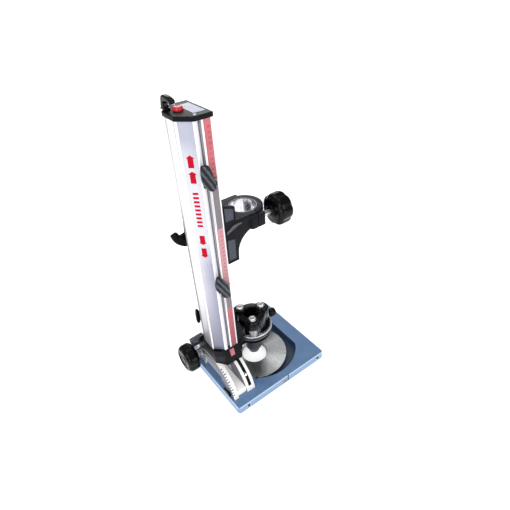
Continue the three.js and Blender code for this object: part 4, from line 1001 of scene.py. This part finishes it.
# thin index insert on the base's -y edge, every third line longer
insert = prism(rounded(rectangle(-3.7, 12.7, 5.3, 20.7), 0.8, 3), -129.2, -128.6, "y",
               bevel=0.15, steps=2)
place(insert, "index_insert", "base", MILLED, "zinc_steel")
lines = [block((-4 + 2.4 * k + 1.55, -4 + 2.4 * k + 2.0), (-129.35, -129.0),
               (8, 16.5 if k % 3 else 18.8), edge=0) for k in range(6)]
place(merge(lines), "index_insert_lines", "base", BLACK_PRINT, "black_casting")

# bushes in the rod holes (r, outward)
BUSH = [(5.15, -1.2), (5.15, 0.35), (5.4, 0.6), (6.3, 0.6), (6.6, 0.3), (6.6, -1.2)]
bush_places = [(x, y, axis) for x in ROD_HOLE_XS for y, axis in ((-129.7, "-y"), (129.7, "y"))]
for i, (x, y, axis) in enumerate(bush_places, 1):
    bush = turned(BUSH, 48, axis=axis, at=(x, y, ROD_HOLE_Z))
    place(bush, f"rod_hole_bush_{i}", "base", ZINC, "zinc_steel")

# ------------------------------------------------------------------- foot
dress(FOOT, 0.9, "tilt_foot")
dress(BRONZE, 0.2, "slot_key")
dress(DUSTY_RED, 0.3, "tilt_pointer")
dress(ZINC, 0.2, "foot_bolt_1", "foot_bolt_2")
TILT_STUD = [(0, -166), (4.4, -166), (4.9, -165.5), (4.9, -153.6), (9.0, -153.6), (9.5, -153.1),
             (9.5, -143.0), (11.6, -142.8), (12, -142.4), (12, -139.8), (11.6, -139.4),
             (4.9, -139.4), (4.9, -105.5), (4.4, -105), (0, -105)]     # (r, x)
place(turned(TILT_STUD, 64, axis="x", at=(0, TILT_Y, TILT_Z)), "tilt_stud_turned", "column",
      ZINC, "zinc_steel", "tilt_stud")


def star_knob(name, body, node, radius, height, hub_height, bore, axis, at):
    """Fluted grip: short hub, round shoulders, seven soft flutes and a dished crown."""
    crown = radius - 11.0
    profile = [(0, bore), (5.2, bore), (5.2, 0.8), (5.8, 0.2), (6.5, 0.0), (11.8, 0.0),
               (12.7, 0.4), (13.1, 1.3), (13.3, hub_height - 0.7), (14.6, hub_height)]
    arc = [math.radians(t) for t in range(0, 91, 9)]
    profile += [(radius - 12.5 + 12.5 * math.sin(t), hub_height + 12.0 - 12.0 * math.cos(t))
                for t in arc]
    profile += [(crown + 11.0 * math.cos(t), height - 12.0 + 12.0 * math.sin(t)) for t in arc]
    profile += [(radius - 12.6, height - 0.3), (radius - 14.0, height - 1.3),
                (radius - 15.4, height - 2.3), (radius - 17.2, height - 2.7),
                (11.0, height - 2.7), (10.2, height - 2.3), (9.4, height - 1.5),
                (7.5, height - 1.1), (0, height - 0.9)]

    def flute(angle, r):
        depth = max(0.0, min(1.0, (r - radius * 0.55) / (radius * 0.40)))
        depth = depth * depth * (3 - 2 * depth)
        return r - 2.1 * depth * (0.5 + 0.5 * math.cos(angle * 7.0)) ** 2.2

    place(turned(profile, 196, flute, axis, at), name, body, GRIP, "black_grip", node, angle=55)


star_knob("tilt_star_grip", "tilt_grip", "tilt_knob", radius=38, height=40, hub_height=4.5,
          bore=14.0, axis="-x", at=(-154, TILT_Y, TILT_Z))
star_knob("collar_star_grip", "collar_grip", "collar_knob", radius=37, height=43, hub_height=4.0,
          bore=14.8, axis="x", at=(44.3, COLLAR_Y, COLLAR_Z))

# ------------------------------------------------------------------- column
def half_outline(side):
    """((x, y), corner radius) from the +x corner round to the middle of the -x face."""
    x0, x1, y = COLUMN_X0, COLUMN_X1, COLUMN_Y
    bend_x, bend_y = x0 + CHAMFER, y - CHAMFER                 # ends of the chamfer
    points = [
        ((x1, y - 1), 0), ((x1 - 1, y), 0.3),
        # shallow seat of the scale
        ((-79.4, y), 0.15), ((-79.4, y - 0.8), 0), ((-98.4, y - 0.8), 0), ((-98.4, y), 0.15),
        # undercut side groove
        ((-99.8, y), 0.25), ((-99.8, y - 2.4), 0.2), ((-97.5, y - 2.4), 0.3),
        ((-97.5, y - 7), 0.5), ((-108.5, y - 7), 0.5), ((-108.5, y - 2.4), 0.3),
        ((-106.2, y - 2.4), 0.2), ((-106.2, y), 0.25),
        # chamfer with its sunk panel
        ((bend_x + 1.5, y), 1.2), ((bend_x - 0.6, y - 0.8), 0.8), ((bend_x - 2.2, y - 2.4), 0.3),
        ((bend_x - 1.5, y - 3.2), 0.3), ((x0 + 3.2, bend_y + 1.5), 0.3),
        ((x0 + 2.2, bend_y + 2.4), 0.3), ((x0 + 0.4, bend_y + 0.4), 0.8),
        ((x0, bend_y - 1.2), 1.2),
        # seam
        ((x0, 15.6), 0.2), ((x0 + 0.9, 15), 0.2), ((x0 + 0.9, 14), 0.2), ((x0, 13.4), 0.2)]
    return [((x, side * y), radius) for (x, y), radius in points]


# inner channel, open at +x: ((x, y), corner radius)
half_channel = [((-77, -12), 0.4), ((-82, -12), 0.4), ((-82, -19), 0.4), ((-97, -19), 0.6),
                ((-97, -6), 0.3), ((-101, -6), 0.3), ((-101, -33.8), 1.0),
                ((-118.2, -33.8), 2.0), ((-133.6, -18.6), 2.0)]
channel = half_channel + [((x, -y), radius) for (x, y), radius in half_channel[::-1]]
section = half_outline(1) + half_outline(-1)[::-1] + channel
outline = rounded([point for point, _ in section], [radius for _, radius in section], 3)

# a pair of chambers and a screw hole on each side
holes = []
for side in (1, -1):
    for low, high in ((22.4, 25.0), (38.0, 40.0)):
        holes.append(rectangle(-94.0, -81.0, side * low, side * high))
    holes.append([polar(4.1, 15 * k, -87.5, side * 31.5) for k in range(24)])
place(prism(outline, COLUMN_LOW, COLUMN_TOP, holes=holes), "extruded_column", "column", ALU,
      "anodised_profile", "column_profile", angle=24)
dress(SCALE, 0, "scale_strip")


def number_mesh(text):
    curve = bpy.data.curves.new("digits", "FONT")
    curve.body, curve.size, curve.extrude = text, 5.8, 0.06
    curve.align_x, curve.align_y, curve.resolution_u = "CENTER", "CENTER", 3
    ob = link("digits", curve)
    mesh = baked(ob)
    bpy.data.objects.remove(ob)
    return tidy(mesh, 1e-4)


# numbers on the scale read from the near side, one for each centimetre
edit = bmesh.new()
for k in range(1, 57):
    digits = number_mesh(str(k))
    digits.transform(Matrix.Translation((-86.8, -43.96, COLUMN_LOW + 10 * k))
                     @ Matrix.Rotation(math.radians(90), 4, "X"))
    edit.from_mesh(digits)
    bpy.data.meshes.remove(digits)
place(link("scale_numbers", to_mesh(edit, "scale_numbers")), "scale_numbers", "column",
      DIGIT_RED, "red_scale", angle=30)


def on_chamfer(side):
    """Maps an outline (across, z) onto the sunk panel of the chamfer at side -y or +y."""
    slant = math.sqrt(0.5)
    centre = Vector((COLUMN_X0 + CHAMFER / 2, side * (COLUMN_Y - CHAMFER / 2), 0))
    centre += Vector((slant, -side * slant, 0)) * 1.20
    across = Vector((-side * slant, -slant, 0))
    out = Vector((-slant, side * slant, 0))
    turn = Matrix((across, Vector((0, 0, 1)), out)).transposed().to_4x4()
    return Matrix.Translation(centre) @ turn


def arrow(tip, shoulder, tail, half=5.4, head=8.6):
    return [(-head, shoulder), (0, tip), (head, shoulder), (half, shoulder), (half, tail),
            (-half, tail), (-half, shoulder)]


# two arrows up and two down, with a ladder of bars between
ARROWS = ((659.0, 652.8, 634.5), (627.8, 621.6, 603.3),
          (463.8, 469.8, 486.6), (431.3, 437.4, 455.4))        # z of tip, shoulder, tail
for side, tag in ((-1, "near"), (1, "far")):
    outlines = [rounded(arrow(*heights), 0.4, 2) for heights in ARROWS]
    outlines += [rounded(rectangle(-5.6, 5.6, z - 2.4, z + 2.4), 0.9, 3)
                 for z in (582.0 - 9.0 * k for k in range(9))]
    marks = []
    for shape in outlines:
        mark = prism(shape, -0.05, 0.16)
        mark.data.transform(on_chamfer(side))
        marks.append(mark)
    place(merge(marks), f"direction_marks_{tag}", "column", RED_PRINT, "red_plastic")

# cap: the column's plain outline, grown all round, with recesses for plate, button and screws
GROWN = 2.6
bend = CHAMFER - 0.41 * GROWN
half_cap = [(COLUMN_X1 + GROWN, COLUMN_Y + GROWN), (COLUMN_X0 + bend, COLUMN_Y + GROWN),
            (COLUMN_X0 - GROWN, COLUMN_Y - bend)]
cap_outline = half_cap + [(x, -y) for x, y in half_cap[::-1]]
cap = prism(rounded(cap_outline, 3.0, 5), COLUMN_TOP + 0.2, 729, bevel=1.3, steps=4)
cap = cut(cap, prism(rounded(rectangle(-104, -80, -29.5, 29.5), 1.0, 3), 728.2, 735),
          turned([(0, 717), (10, 717), (10, 728.3), (10.7, 729.4), (0, 731)], 64,
                 at=(BUTTON_X, BUTTON_Y, 0)),
          rod(4.2, 724.5, 735, CAP_SCREW_X, CAP_SCREW_Y, edge=0),
          rod(4.2, 724.5, 735, CAP_SCREW_X, -CAP_SCREW_Y, edge=0))
place(cap, "moulded_column_cap", "column", ENAMEL_BLACK, "black_casting", "column_cap")
dress(PLATE, 0.25, "cap_plate")
CAP_SCREW = [(0, 724.6), (4.0, 724.6), (4.0, 728.9), (3.6, 729.7), (2.6, 730.15), (0, 730.2)]
for i, y in enumerate((CAP_SCREW_Y, -CAP_SCREW_Y), 1):
    screw = cut(turned(CAP_SCREW, 40, at=(CAP_SCREW_X, y, 0)),
                prism(hexagon(1.8, 0, CAP_SCREW_X, y), 728, 733))
    place(screw, f"cap_screw_head_{i}", "column", ZINC, "zinc_steel", f"cap_screw_{i}")

BUTTON = [(0, 722), (9.0, 722), (9.4, 722.4), (9.4, 732.0), (9.1, 733.6), (8.3, 734.8),
          (7.1, 735.5), (5.6, 735.6), (4.0, 735.2), (2.0, 734.9), (0, 734.8)]      # (r, z)
place(turned(BUTTON, 72, at=(BUTTON_X, BUTTON_Y, 0)), "red_release_button", "button",
      RED_PLASTIC, "red_plastic", "release_button")

CABLE_HOOK = [(33, 729.1), (20, 729.1), (21.6, 737), (20.6, 743.4), (8, 746.4), (-1, 743.6),
              (-7, 745.6), (-5.4, 751.6), (10, 755), (26, 753.6), (31.6, 741)]     # (y, z)
hook = prism(smooth_loop(CABLE_HOOK, 6), -134, -123, "x", bevel=2.4, steps=4)
hook_foot = prism(rounded(rectangle(-134.6, -122.4, 16, 34.5), 2.5, 4), 729.1, 732.2, bevel=0.8)
place(join(hook, hook_foot), "moulded_cable_hook", "column", GRIP, "black_grip", "cable_hook")
dress(ZINC, 0.3, "drum_axle")
dress(NYLON, 0.4, "spring_drum")
place(block((-103.4, -103.0), (-4.6, 4.6), (489, 556), edge=0), "spring_band_lower", "carriage",
      BAND, "turned_steel", "spring_band")
place(block((-105.3, -104.9), (-4.6, 4.6), (552, 679.5), edge=0), "spring_band_upper", "column",
      BAND, "turned_steel")

# ------------------------------------------------------------------- carriage
def plate_xz(points, y0, y1, radius=0.9, bevel=0.7):
    """A plate with an (x, z) outline between two y."""
    return prism(rounded(points, radius, 3), y0, y1, "y", bevel=bevel, steps=3)


# curved brace below the collar: two quarter arcs about (3, 413)
arc_in = [polar(50.5, 180 - 7.5 * k, 3, 413) for k in range(13)]
arc_out = [polar(56.5, 90 + 7.5 * k, 3, 413) for k in range(13)]
cheek = [(-76.2, 396), (-48, 396), (-48, 529.9), (-76.2, 541)]
web = [(-63, 396), (-48, 396), *arc_in, (8, 463.5), (8, 493), (-63, 493)]
flange = [(-63, 396), (-48, 396), *arc_in, (20, 463.5), (20, 469.5), *arc_out, (-53.5, 402),
          (-63, 402)]
ear = [(-14, -30), (-14, -45), (-9, -50.5), (22.6, -50.5), (24, -49), (24, -25), (18, -20)]
deck = [(-63, -43.9), (4, -43.9), (4, 50), (-30, 50), (-63, 43.9)]
collar = [(0, 462), (44.2, 462), (45, 462.8), (45, 495.9), (44.6, 496.7), (43.9, 497), (0, 497)]
rib = [(-74, 472), (-44, 484), (-6, 489), (-6, 493), (-50, 493), (-74, 479)]
lock_boss = [(-117, 421), (-112, 417), (-62, 417), (-62, 459), (-112, 459), (-117, 455)]
lock_fin = [(-123.2, 427), (-119.5, 419.5), (-108, 419.5), (-108, 470), (-117.2, 488),
            (-119.6, 488), (-120.6, 484)]
carriage = join(
    block((-76.2, -62), (-43.5, 43.5), (396.2, 534), edge=0.9),
    plate_xz(cheek, -44, -36), plate_xz(cheek, 36, 44),
    plate_xz(web, -43.9, -35), plate_xz(web, 35, 43.9),
    plate_xz(flange, -43.8, 43.8, 0.5, 0.6),
    prism(rounded(deck, 1.2, 3), 489, 497, bevel=0.9),
    block((-30, 16), (30, 50), (470, 496.8), edge=1.2, steps=3),
    turned(collar, 144),
    prism(rounded(ear, 1.2, 3), 461, 493, bevel=0.9),
    plate_xz(rib, -45.6, -43.0, 0.6, 0.5),
    plate_xz(lock_boss, 44.5, 57, 1.5, 1.0),
    block((-75.8, -62), (40, 56.8), (417, 459), edge=0.8),
    plate_xz(lock_fin, 53.2, 56.8, 1.2, 0.6))
# two corners, the bore, the clamp slit, the stepped screw hole and the lock's hole
carriage = cut(
    carriage,
    prism([(-60, 450), (-44, 450), (-60, 466)], 5.8, 25, "x"),
    prism([(-60, 484), (-47, 497), (-60, 498)], -20, 25, "x"),
    turned([(0, 440), (33, 440), (33, 496.2), (33.9, 497.2), (33.9, 505), (0, 505)], 144),
    block((3.8, 6), (-60, -20), (440, 500), edge=0),
    rod(5.3, -8, 6, y=COLLAR_Y, z=COLLAR_Z, axis="x", edge=0),
    rod(5.4, 5, 26, y=COLLAR_Y, z=COLLAR_Z, axis="x", edge=0),
    rod(7.2, 24, 46, y=COLLAR_Y, z=COLLAR_Z, axis="x", edge=0),
    rod(4.3, 40, 60, x=CLAMP_X, z=438, axis="y", edge=0))
# sunk panels in both cheeks
UPPER_PANEL = [(-73.6, 500), (-50.6, 500), (-50.6, 526), (-73.6, 535)]
LOWER_PANEL = [(-73.4, 401), (-53, 401), (-52.4, 452.6), (-73.4, 457)]
for y0, y1 in ((-46, -41.8), (41.8, 46)):
    carriage = cut(carriage, plate_xz(UPPER_PANEL, y0, y1, 1.4, 0),
                   plate_xz(LOWER_PANEL, y0, y1, 1.8, 0))
# counterbored holes through the back plate
for z in (430, 510):
    carriage = cut(carriage, rod(3.4, -78, -60, z=z, axis="x", edge=0),
                   rod(6, -67, -60, z=z, axis="x", edge=0))
place(carriage, "cast_carriage", "carriage", CARRIAGE, "black_casting", "carriage_frame",
      angle=36)
dress(NYLON, 0.3, "slide_shoe")
dress(ZINC, 0.2, "shoe_bolt_1", "shoe_bolt_2")
dress(SLEEVE, 0.25, "collar_sleeve")
COLLAR_SCREW = [(0, -7), (4.4, -7), (4.9, -6.5), (4.9, 25), (5.9, 25), (6.2, 25.3), (6.2, 43.6),
                (5.8, 44), (4.9, 44), (4.9, 57.5), (4.4, 58), (0, 58)]             # (r, x)
place(turned(COLLAR_SCREW, 56, axis="x", at=(0, COLLAR_Y, COLLAR_Z)), "collar_screw_turned",
      "collar_grip", ZINC, "zinc_steel", "collar_screw")


def side_lever(name, body, node, z, hub_radius, hub_end, arm, arm_span):
    """Lever on the far side: spindle and hub (r, y), and a hooked arm (x, z)."""
    profile = [(0, 38.4), (2.8, 38.4), (2.8, 44.6), (3.9, 44.6), (3.9, 57.6),
               (hub_radius - 0.8, 57.6), (hub_radius, 58.4), (hub_radius, hub_end - 2.2),
               (hub_radius - 0.7, hub_end - 0.7), (hub_radius - 2.4, hub_end), (0, hub_end)]
    hub = turned(profile, 64, axis="y", at=(CLAMP_X, 0, z))
    wing = prism(smooth_loop(arm), *arm_span, "y", bevel=2.4, steps=4)
    place(join(hub, wing), name, body, GRIP, "black_grip", node)


LOCK_ARM = [(-98, 443), (-106, 447), (-118, 444.5), (-127, 442.6), (-131.6, 443.4),
            (-134.6, 450), (-138.6, 453.4), (-147.4, 451.8), (-152.2, 448.4), (-150, 439),
            (-144.6, 428), (-136, 419), (-124.6, 410.8), (-115, 409.6), (-104, 414),
            (-96.5, 427)]
GUIDE_ARM = [(-99, 187), (-106, 190), (-115.6, 191), (-118.4, 205), (-121.6, 211.4),
             (-126.4, 211), (-128.8, 200), (-129.2, 180), (-128, 168), (-124, 164.6),
             (-120.4, 166), (-117.4, 174), (-106, 174), (-99, 177)]
side_lever("hooked_lock_lever", "carriage_lock", "lock_lever", z=438, hub_radius=9.5,
           hub_end=70, arm=LOCK_ARM, arm_span=(59.4, 68))
side_lever("hooked_guide_lever", "guide_clamp", "guide_clamp_lever", z=182, hub_radius=9,
           hub_end=69, arm=GUIDE_ARM, arm_span=(60, 67))

# ------------------------------------------------------------------- stops
# wing outlines (x, z) about their hubs
UPPER_WING = [(-18, 31), (-14.5, 34.4), (-6, 33), (-1, 29), (3.2, 16), (6.8, -4), (8, -16),
              (5, -20), (-1, -20.4), (-9, -15.5), (-15, -6), (-18.4, 2), (-19.6, 17)]
LOWER_WING = [(-17.4, 38), (-12.5, 40), (-6, 34), (2.4, 23), (8.4, 9.5), (10.6, -9),
              (11.4, -25), (6, -28), (-2, -24), (-9.6, -17), (-12.5, -6), (-20, 4), (-22.4, 18),
              (-20.2, 30)]


def stop(tag, hub_z, shape):
    """A stop's block, bar and near-side wing with a raised ridge."""
    dress(ENAMEL_BLACK, 0.6, f"{tag}_stop_block")
    dress(BAR, 0.3, f"{tag}_stop_bar")
    points = [(CLAMP_X + x, hub_z + z) for x, z in shape]
    middle_x = sum(x for x, _ in points) / len(points)
    middle_z = sum(z for _, z in points) / len(points)
    wing = prism(smooth_loop(points, 4), -64.6, -56, "y", bevel=2.6, steps=4)
    inner = [(middle_x + 1.0 + (x - middle_x) * 0.42, middle_z + (z - middle_z) * 0.72)
             for x, z in points]
    ridge = prism(smooth_loop(inner, 4), -66, -60, "y", bevel=1.7, steps=4)
    hub = rod(9, -58.5, -52.8, x=CLAMP_X, z=hub_z, axis="y", edge=0.6)
    place(join(wing, ridge, hub), f"{tag}_stop_wing", f"{tag}_stop_clamp", LEVER, "black_grip",
          f"{tag}_stop_lever", angle=40)


stop("upper", 612, UPPER_WING)
stop("lower", 352, LOWER_WING)

# ------------------------------------------------------------------- bit guide
def lobe_solid(z0, z1, middle_radius, fillet):
    """Three round lobes blended into a middle body, with rounded rims."""
    blend = 3.0

    def outer(angle):
        best = middle_radius
        for lobe_angle in LOBE_ANGLES:
            off = angle - math.radians(lobe_angle)
            off = (off + math.pi) % TAU - math.pi
            aside = LOBE_RING * math.sin(off)
            if abs(aside) < LOBE_RADIUS and math.cos(off) > 0:
                reach = LOBE_RING * math.cos(off) + math.sqrt(LOBE_RADIUS ** 2 - aside ** 2)
                near = max(blend - abs(best - reach), 0) / blend
                best = max(best, reach) + near * near * blend * 0.25
        return best

    # (offset from the outer radius, z)
    rim = [(-1.0, z0), (-0.3, z0 + 0.3), (0.0001, z0 + 1.0)]
    for k in range(6):
        t = math.pi / 2 * k / 5
        rim.append((0.0001 - fillet * (1 - math.cos(t)), z1 - fillet * (1 - math.sin(t))))
    edit = bmesh.new()
    segments, rings = 180, []
    for i in range(segments):
        angle = TAU * i / segments
        reach = outer(angle)
        rings.append([edit.verts.new(((reach + offset) * math.cos(angle),
                                      (reach + offset) * math.sin(angle), z))
                      for offset, z in rim])
    bottom, top = edit.verts.new((0, 0, z0)), edit.verts.new((0, 0, z1))
    for i in range(segments):
        ring, following = rings[i], rings[(i + 1) % segments]
        for j in range(len(rim) - 1):
            edit.faces.new((ring[j], following[j], following[j + 1], ring[j + 1]))
        edit.faces.new((following[0], ring[0], bottom))
        edit.faces.new((ring[-1], following[-1], top))
    bmesh.ops.recalc_face_normals(edit, faces=edit.faces)
    return link("lobes", to_mesh(edit, "lobes"))


casting = lobe_solid(132, 165, middle_radius=37.4, fillet=1.0)
guide_flange = [(0, 132), (49.0, 132), (49.5, 132.4), (49.5, 135.3), (48.9, 136), (0, 136)]
guide_lower = [(0, 104), (48.2, 104), (49.2, 104.5), (49.5, 105.5), (49.5, 116.4), (49.0, 117),
               (0, 117)]
parts = [turned(guide_flange, 144), turned(guide_lower, 144)]
NOSE = [(13, 29.6), (13.5, 29), (14.2, 29), (14.8, 29.3), (15, 30), (15, 38.0), (15.4, 38.9),
        (21.4, 45.3), (22, 46.6), (22, 103.2), (21.6, 103.9), (13, 103.9)]         # (r, z)
place(turned(NOSE), "turned_guide_nose", "guide", DARK_STEEL, "zinc_steel", "guide_nose")
# pillars between the lower disc and the flange, and two pads at -x
parts += [rod(6, 116, 133, *polar(34, degrees), edge=0) for degrees in (60, 180, 300)]
parts += [block((-54.8, -40), (-26, 26), (133, 160), edge=1.5, steps=3),
          block((-54.8, -36), (-24, 24), (100, 117), edge=1.5, steps=3)]
casting = join(casting, *parts)
cuts = [turned([(0, 20), (13, 20), (13, 109), (20.5, 109), (20.5, 163.5), (21.3, 165.4),
                (21.3, 180), (0, 180)])]
for degrees in LOBE_ANGLES:
    x, y = polar(LOBE_RING, degrees)
    cuts += [rod(16.6, 127, 170, x, y, edge=0, segments=64), rod(4.3, 100, 120, x, y, edge=0)]
place(cut(casting, *cuts), "guide_casting", "guide", GUIDE, "black_gloss", "guide_housing",
      angle=38)

# cover with a raised rim about each crank
LOBE_TOP = [(0, 168), (16.8, 168), (16.8, 169.6), (16.0, 170.6), (15.6, 171.8), (15.6, 174.6),
            (15.2, 175.7), (14.2, 176.4), (13.2, 176.6), (12.2, 176.6), (11.6, 176.2),
            (0, 176.2)]                                                            # (r, z)
cover = lobe_solid(165.3, 170.0, middle_radius=37.0, fillet=1.4)
cover = join(cover, *[turned(LOBE_TOP, 72, at=(*polar(LOBE_RING, degrees), 0))
                      for degrees in LOBE_ANGLES])
cuts = [turned([(0, 160), (20.5, 160), (20.5, 169.0), (21.4, 170.4), (0, 173)])]
cuts += [rod(10.35, 160, 190, *polar(LOBE_RING, degrees), edge=0, segments=64)
         for degrees in LOBE_ANGLES]
place(cut(cover, *cuts), "guide_cover", "guide", GLOSS, "black_gloss", "housing_cover", angle=38)
dress(ENAMEL_BLACK, 0.8, "guide_bracket")
dress(NYLON, 0.3, "guide_shoe")
dress(ZINC, 0.2, "guide_bolt")


def gear(teeth, half_width, phase, inside=False, x=0.0, y=0.0):
    """Gear outline of module 2; half_width is a share of the tooth pitch."""
    addendum, dedendum = 1.5, 2.1
    pitch_radius = 2 * teeth / 2
    if inside:
        tip, root = pitch_radius - addendum, pitch_radius + dedendum
    else:
        tip, root = pitch_radius + addendum, pitch_radius - dedendum
    flanks = ((root, -1.42), (pitch_radius, -1.0), (tip, -0.52),
              (tip, 0.52), (pitch_radius, 1.0), (root, 1.42))
    points, step = [], TAU / teeth
    for i in range(teeth):
        centre = phase + step * i
        for radius, share in flanks:
            angle = centre + half_width * step * share
            points.append((x + radius * math.cos(angle), y + radius * math.sin(angle)))
    return points


# toothed ring (r, z) with a belt groove and a drilled boss for its knob
ring = turned([(0, 118), (52.3, 118), (52.9, 118.3), (53.2, 118.9), (53.2, 122.6), (52.8, 123.2),
               (52.0, 123.4), (52.0, 125.8), (52.8, 126.0), (53.2, 126.6), (53.2, 130.1),
               (52.9, 130.7), (52.3, 131), (0, 131)], 184)
ring = cut(ring, prism(gear(RING_TEETH, 0.225, 0, inside=True), 110, 140))
boss = turned([(0, 50.5), (5.5, 50.5), (5.5, 57.4), (5.0, 58), (0, 58)], 48, axis="x",
              at=(0, RING_Y, RING_Z))
boss = cut(boss, turned([(0, 40), (49.6, 40), (49.6, 200), (0, 200)]))
ring = cut(join(ring, boss), rod(2.6, 53, 60, y=RING_Y, z=RING_Z, axis="x", edge=0))
place(ring, "toothed_adjusting_ring", "ring", RING, "turned_steel", "adjusting_ring", angle=30)


def knurl(angle, r):
    """24 shallow flutes on the wide part of the knob."""
    return r - (0.45 * (0.5 + 0.5 * math.cos(angle * 24)) if r > 11.0 else 0)


RING_KNOB = [(0, 53.6), (2.2, 53.6), (2.4, 53.8), (2.4, 58.3), (7.4, 58.3), (8, 58.9),
             (9.2, 60.6), (10.9, 62.6), (11.6, 63.6), (11.8, 64.6), (11.8, 76.0), (11.3, 77.8),
             (10.2, 79.2), (8.6, 79.9), (6, 80), (5.4, 79.6), (0, 79.4)]           # (r, x)
place(turned(RING_KNOB, 192, knurl, "x", (0, RING_Y, RING_Z)), "knurled_ring_knob", "ring",
      GRIP, "black_grip", "ring_knob", angle=50)

CRANK_TOP = [(0, 166.4), (9.6, 166.4), (10, 166.8), (10, 178.2), (9.7, 179.2), (9.0, 179.9),
             (8.0, 180.2), (6.2, 180.2), (5.6, 179.9), (0, 179.7)]                 # (r, z)
ROLLER = [(3.75, 132.8), (4.15, 132.4), (10.2, 132.4), (11, 133.2), (11, 164.0), (10.2, 164.8),
          (4.15, 164.8), (3.75, 164.4)]                                            # (r, z)


def crank_and_roller(number, degrees):
    """A pinion crank in mesh with the ring, and the roller on its offset pin."""
    x, y = polar(LOBE_RING, degrees)
    pin_x, pin_y = polar(ROLLER_RING, degrees)
    pitch = 360 / RING_TEETH
    gap = (math.floor(degrees / pitch) + 0.5) * pitch          # ring tooth gap by the crank
    phase = math.radians(degrees + (gap - degrees) * RING_TEETH / PINION_TEETH)
    crank = prism(gear(PINION_TEETH, 0.215, phase, x=x, y=y), 118.6, 126.4)
    crank = join(crank, rod(3.9, 105, 119, x, y), rod(3.4, 126, 168, pin_x, pin_y, edge=0),
                 rod(6, 126, 131.9, pin_x, pin_y), turned(CRANK_TOP, 72, at=(x, y, 0)))
    crank = cut(crank, prism(hexagon(4, degrees, x, y), 177.2, 185))
    place(crank, f"geared_crank_{number}", f"crank_body_{number}", STEEL, "turned_steel",
          f"crank_{number}")
    place(turned(ROLLER, 72, at=(pin_x, pin_y, 0)), f"ground_roller_{number}",
          f"roller_body_{number}", STEEL, "turned_steel", f"roller_{number}")


for i, degrees in enumerate(LOBE_ANGLES, 1):
    crank_and_roller(i, degrees)

# ------------------------------------------------------------------- stage, metres
FLOOR_HALF, FLOOR_Z = 14, -0.0006
floor_mesh = bpy.data.meshes.new("floor")
floor_corners = rectangle(-FLOOR_HALF, FLOOR_HALF, -FLOOR_HALF, FLOOR_HALF)
floor_mesh.from_pydata([(x, y, FLOOR_Z) for x, y in floor_corners], [], [(0, 1, 2, 3)])
floor = link("floor", floor_mesh)
floor_material = bpy.data.materials.new("pale_floor")
floor_material.use_nodes = True
floor_graph = Graph(floor_material.node_tree)
floor_graph.fill(floor_graph.tree.nodes["Principled BSDF"], {
    "Base Color": (0.90, 0.90, 0.90), "Roughness": 0.75, "Specular IOR Level": 0.1,
    "Emission Color": (1, 1, 1), "Emission Strength": 0.55})
floor_mesh.materials.append(floor_material)

# world: brighter from -x, -y and above, half as strong in reflections, plain white to the camera
world = bpy.data.worlds.new("studio")
SCENE.world = world
world.use_nodes = True
sky = Graph(world.node_tree)
x, y, z = sky.split(sky.node("ShaderNodeTexCoord").outputs["Generated"])
side_light = x * -0.30 + y * -0.16
strength = 0.62 + side_light + z * 0.12
rays = sky.node("ShaderNodeLightPath").outputs
reflected = 1.0 - Value(sky, rays["Is Glossy Ray"]) * 0.50
camera_mix = sky.node("ShaderNodeMix", rays["Is Camera Ray"], data_type="FLOAT")
sky.put(camera_mix.inputs[2], strength * reflected)
sky.put(camera_mix.inputs[3], 1.0)
sky.fill(sky.tree.nodes["Background"], {"Color": (1, 1, 1), "Strength": camera_mix.outputs[0]})

LIGHT_AIM = Vector((0.06, 0, 0.3))


def area(name, at, size, size_y, power):
    light = bpy.data.lights.new(name, "AREA")
    light.shape, light.size, light.size_y, light.energy = "RECTANGLE", size, size_y, power
    ob = link(name, light)
    ob.location = at
    ob.rotation_euler = (LIGHT_AIM - Vector(at)).to_track_quat("-Z", "Y").to_euler()


area("key", at=(-1.9, -1.5, 1.5), size=1.4, size_y=2.0, power=26)
area("front", at=(0.9, -2.4, 0.9), size=1.0, size_y=1.0, power=12)
area("top", at=(0.2, 0.3, 2.6), size=1.6, size_y=1.6, power=11)
area("back", at=(1.4, 2.2, 1.6), size=1.2, size_y=1.2, power=10)

camera = bpy.data.cameras.new("camera")
camera.sensor_width, camera.sensor_fit = 36.0, "HORIZONTAL"
camera.lens = 29.956235
camera.clip_start, camera.clip_end = 0.01, 60
camera_ob = link("camera", camera)
camera_right = Vector((0.796283, -0.602600, -0.052988))
camera_up = Vector((0.394546, 0.450958, 0.800606))
camera_back = Vector((-0.458550, -0.658415, 0.596843))
pose = Matrix((camera_right, camera_up, camera_back)).transposed().to_4x4()
pose.translation = Vector((-0.3394, -0.6761, 0.9606))
camera_ob.matrix_world = pose
SCENE.camera = camera_ob
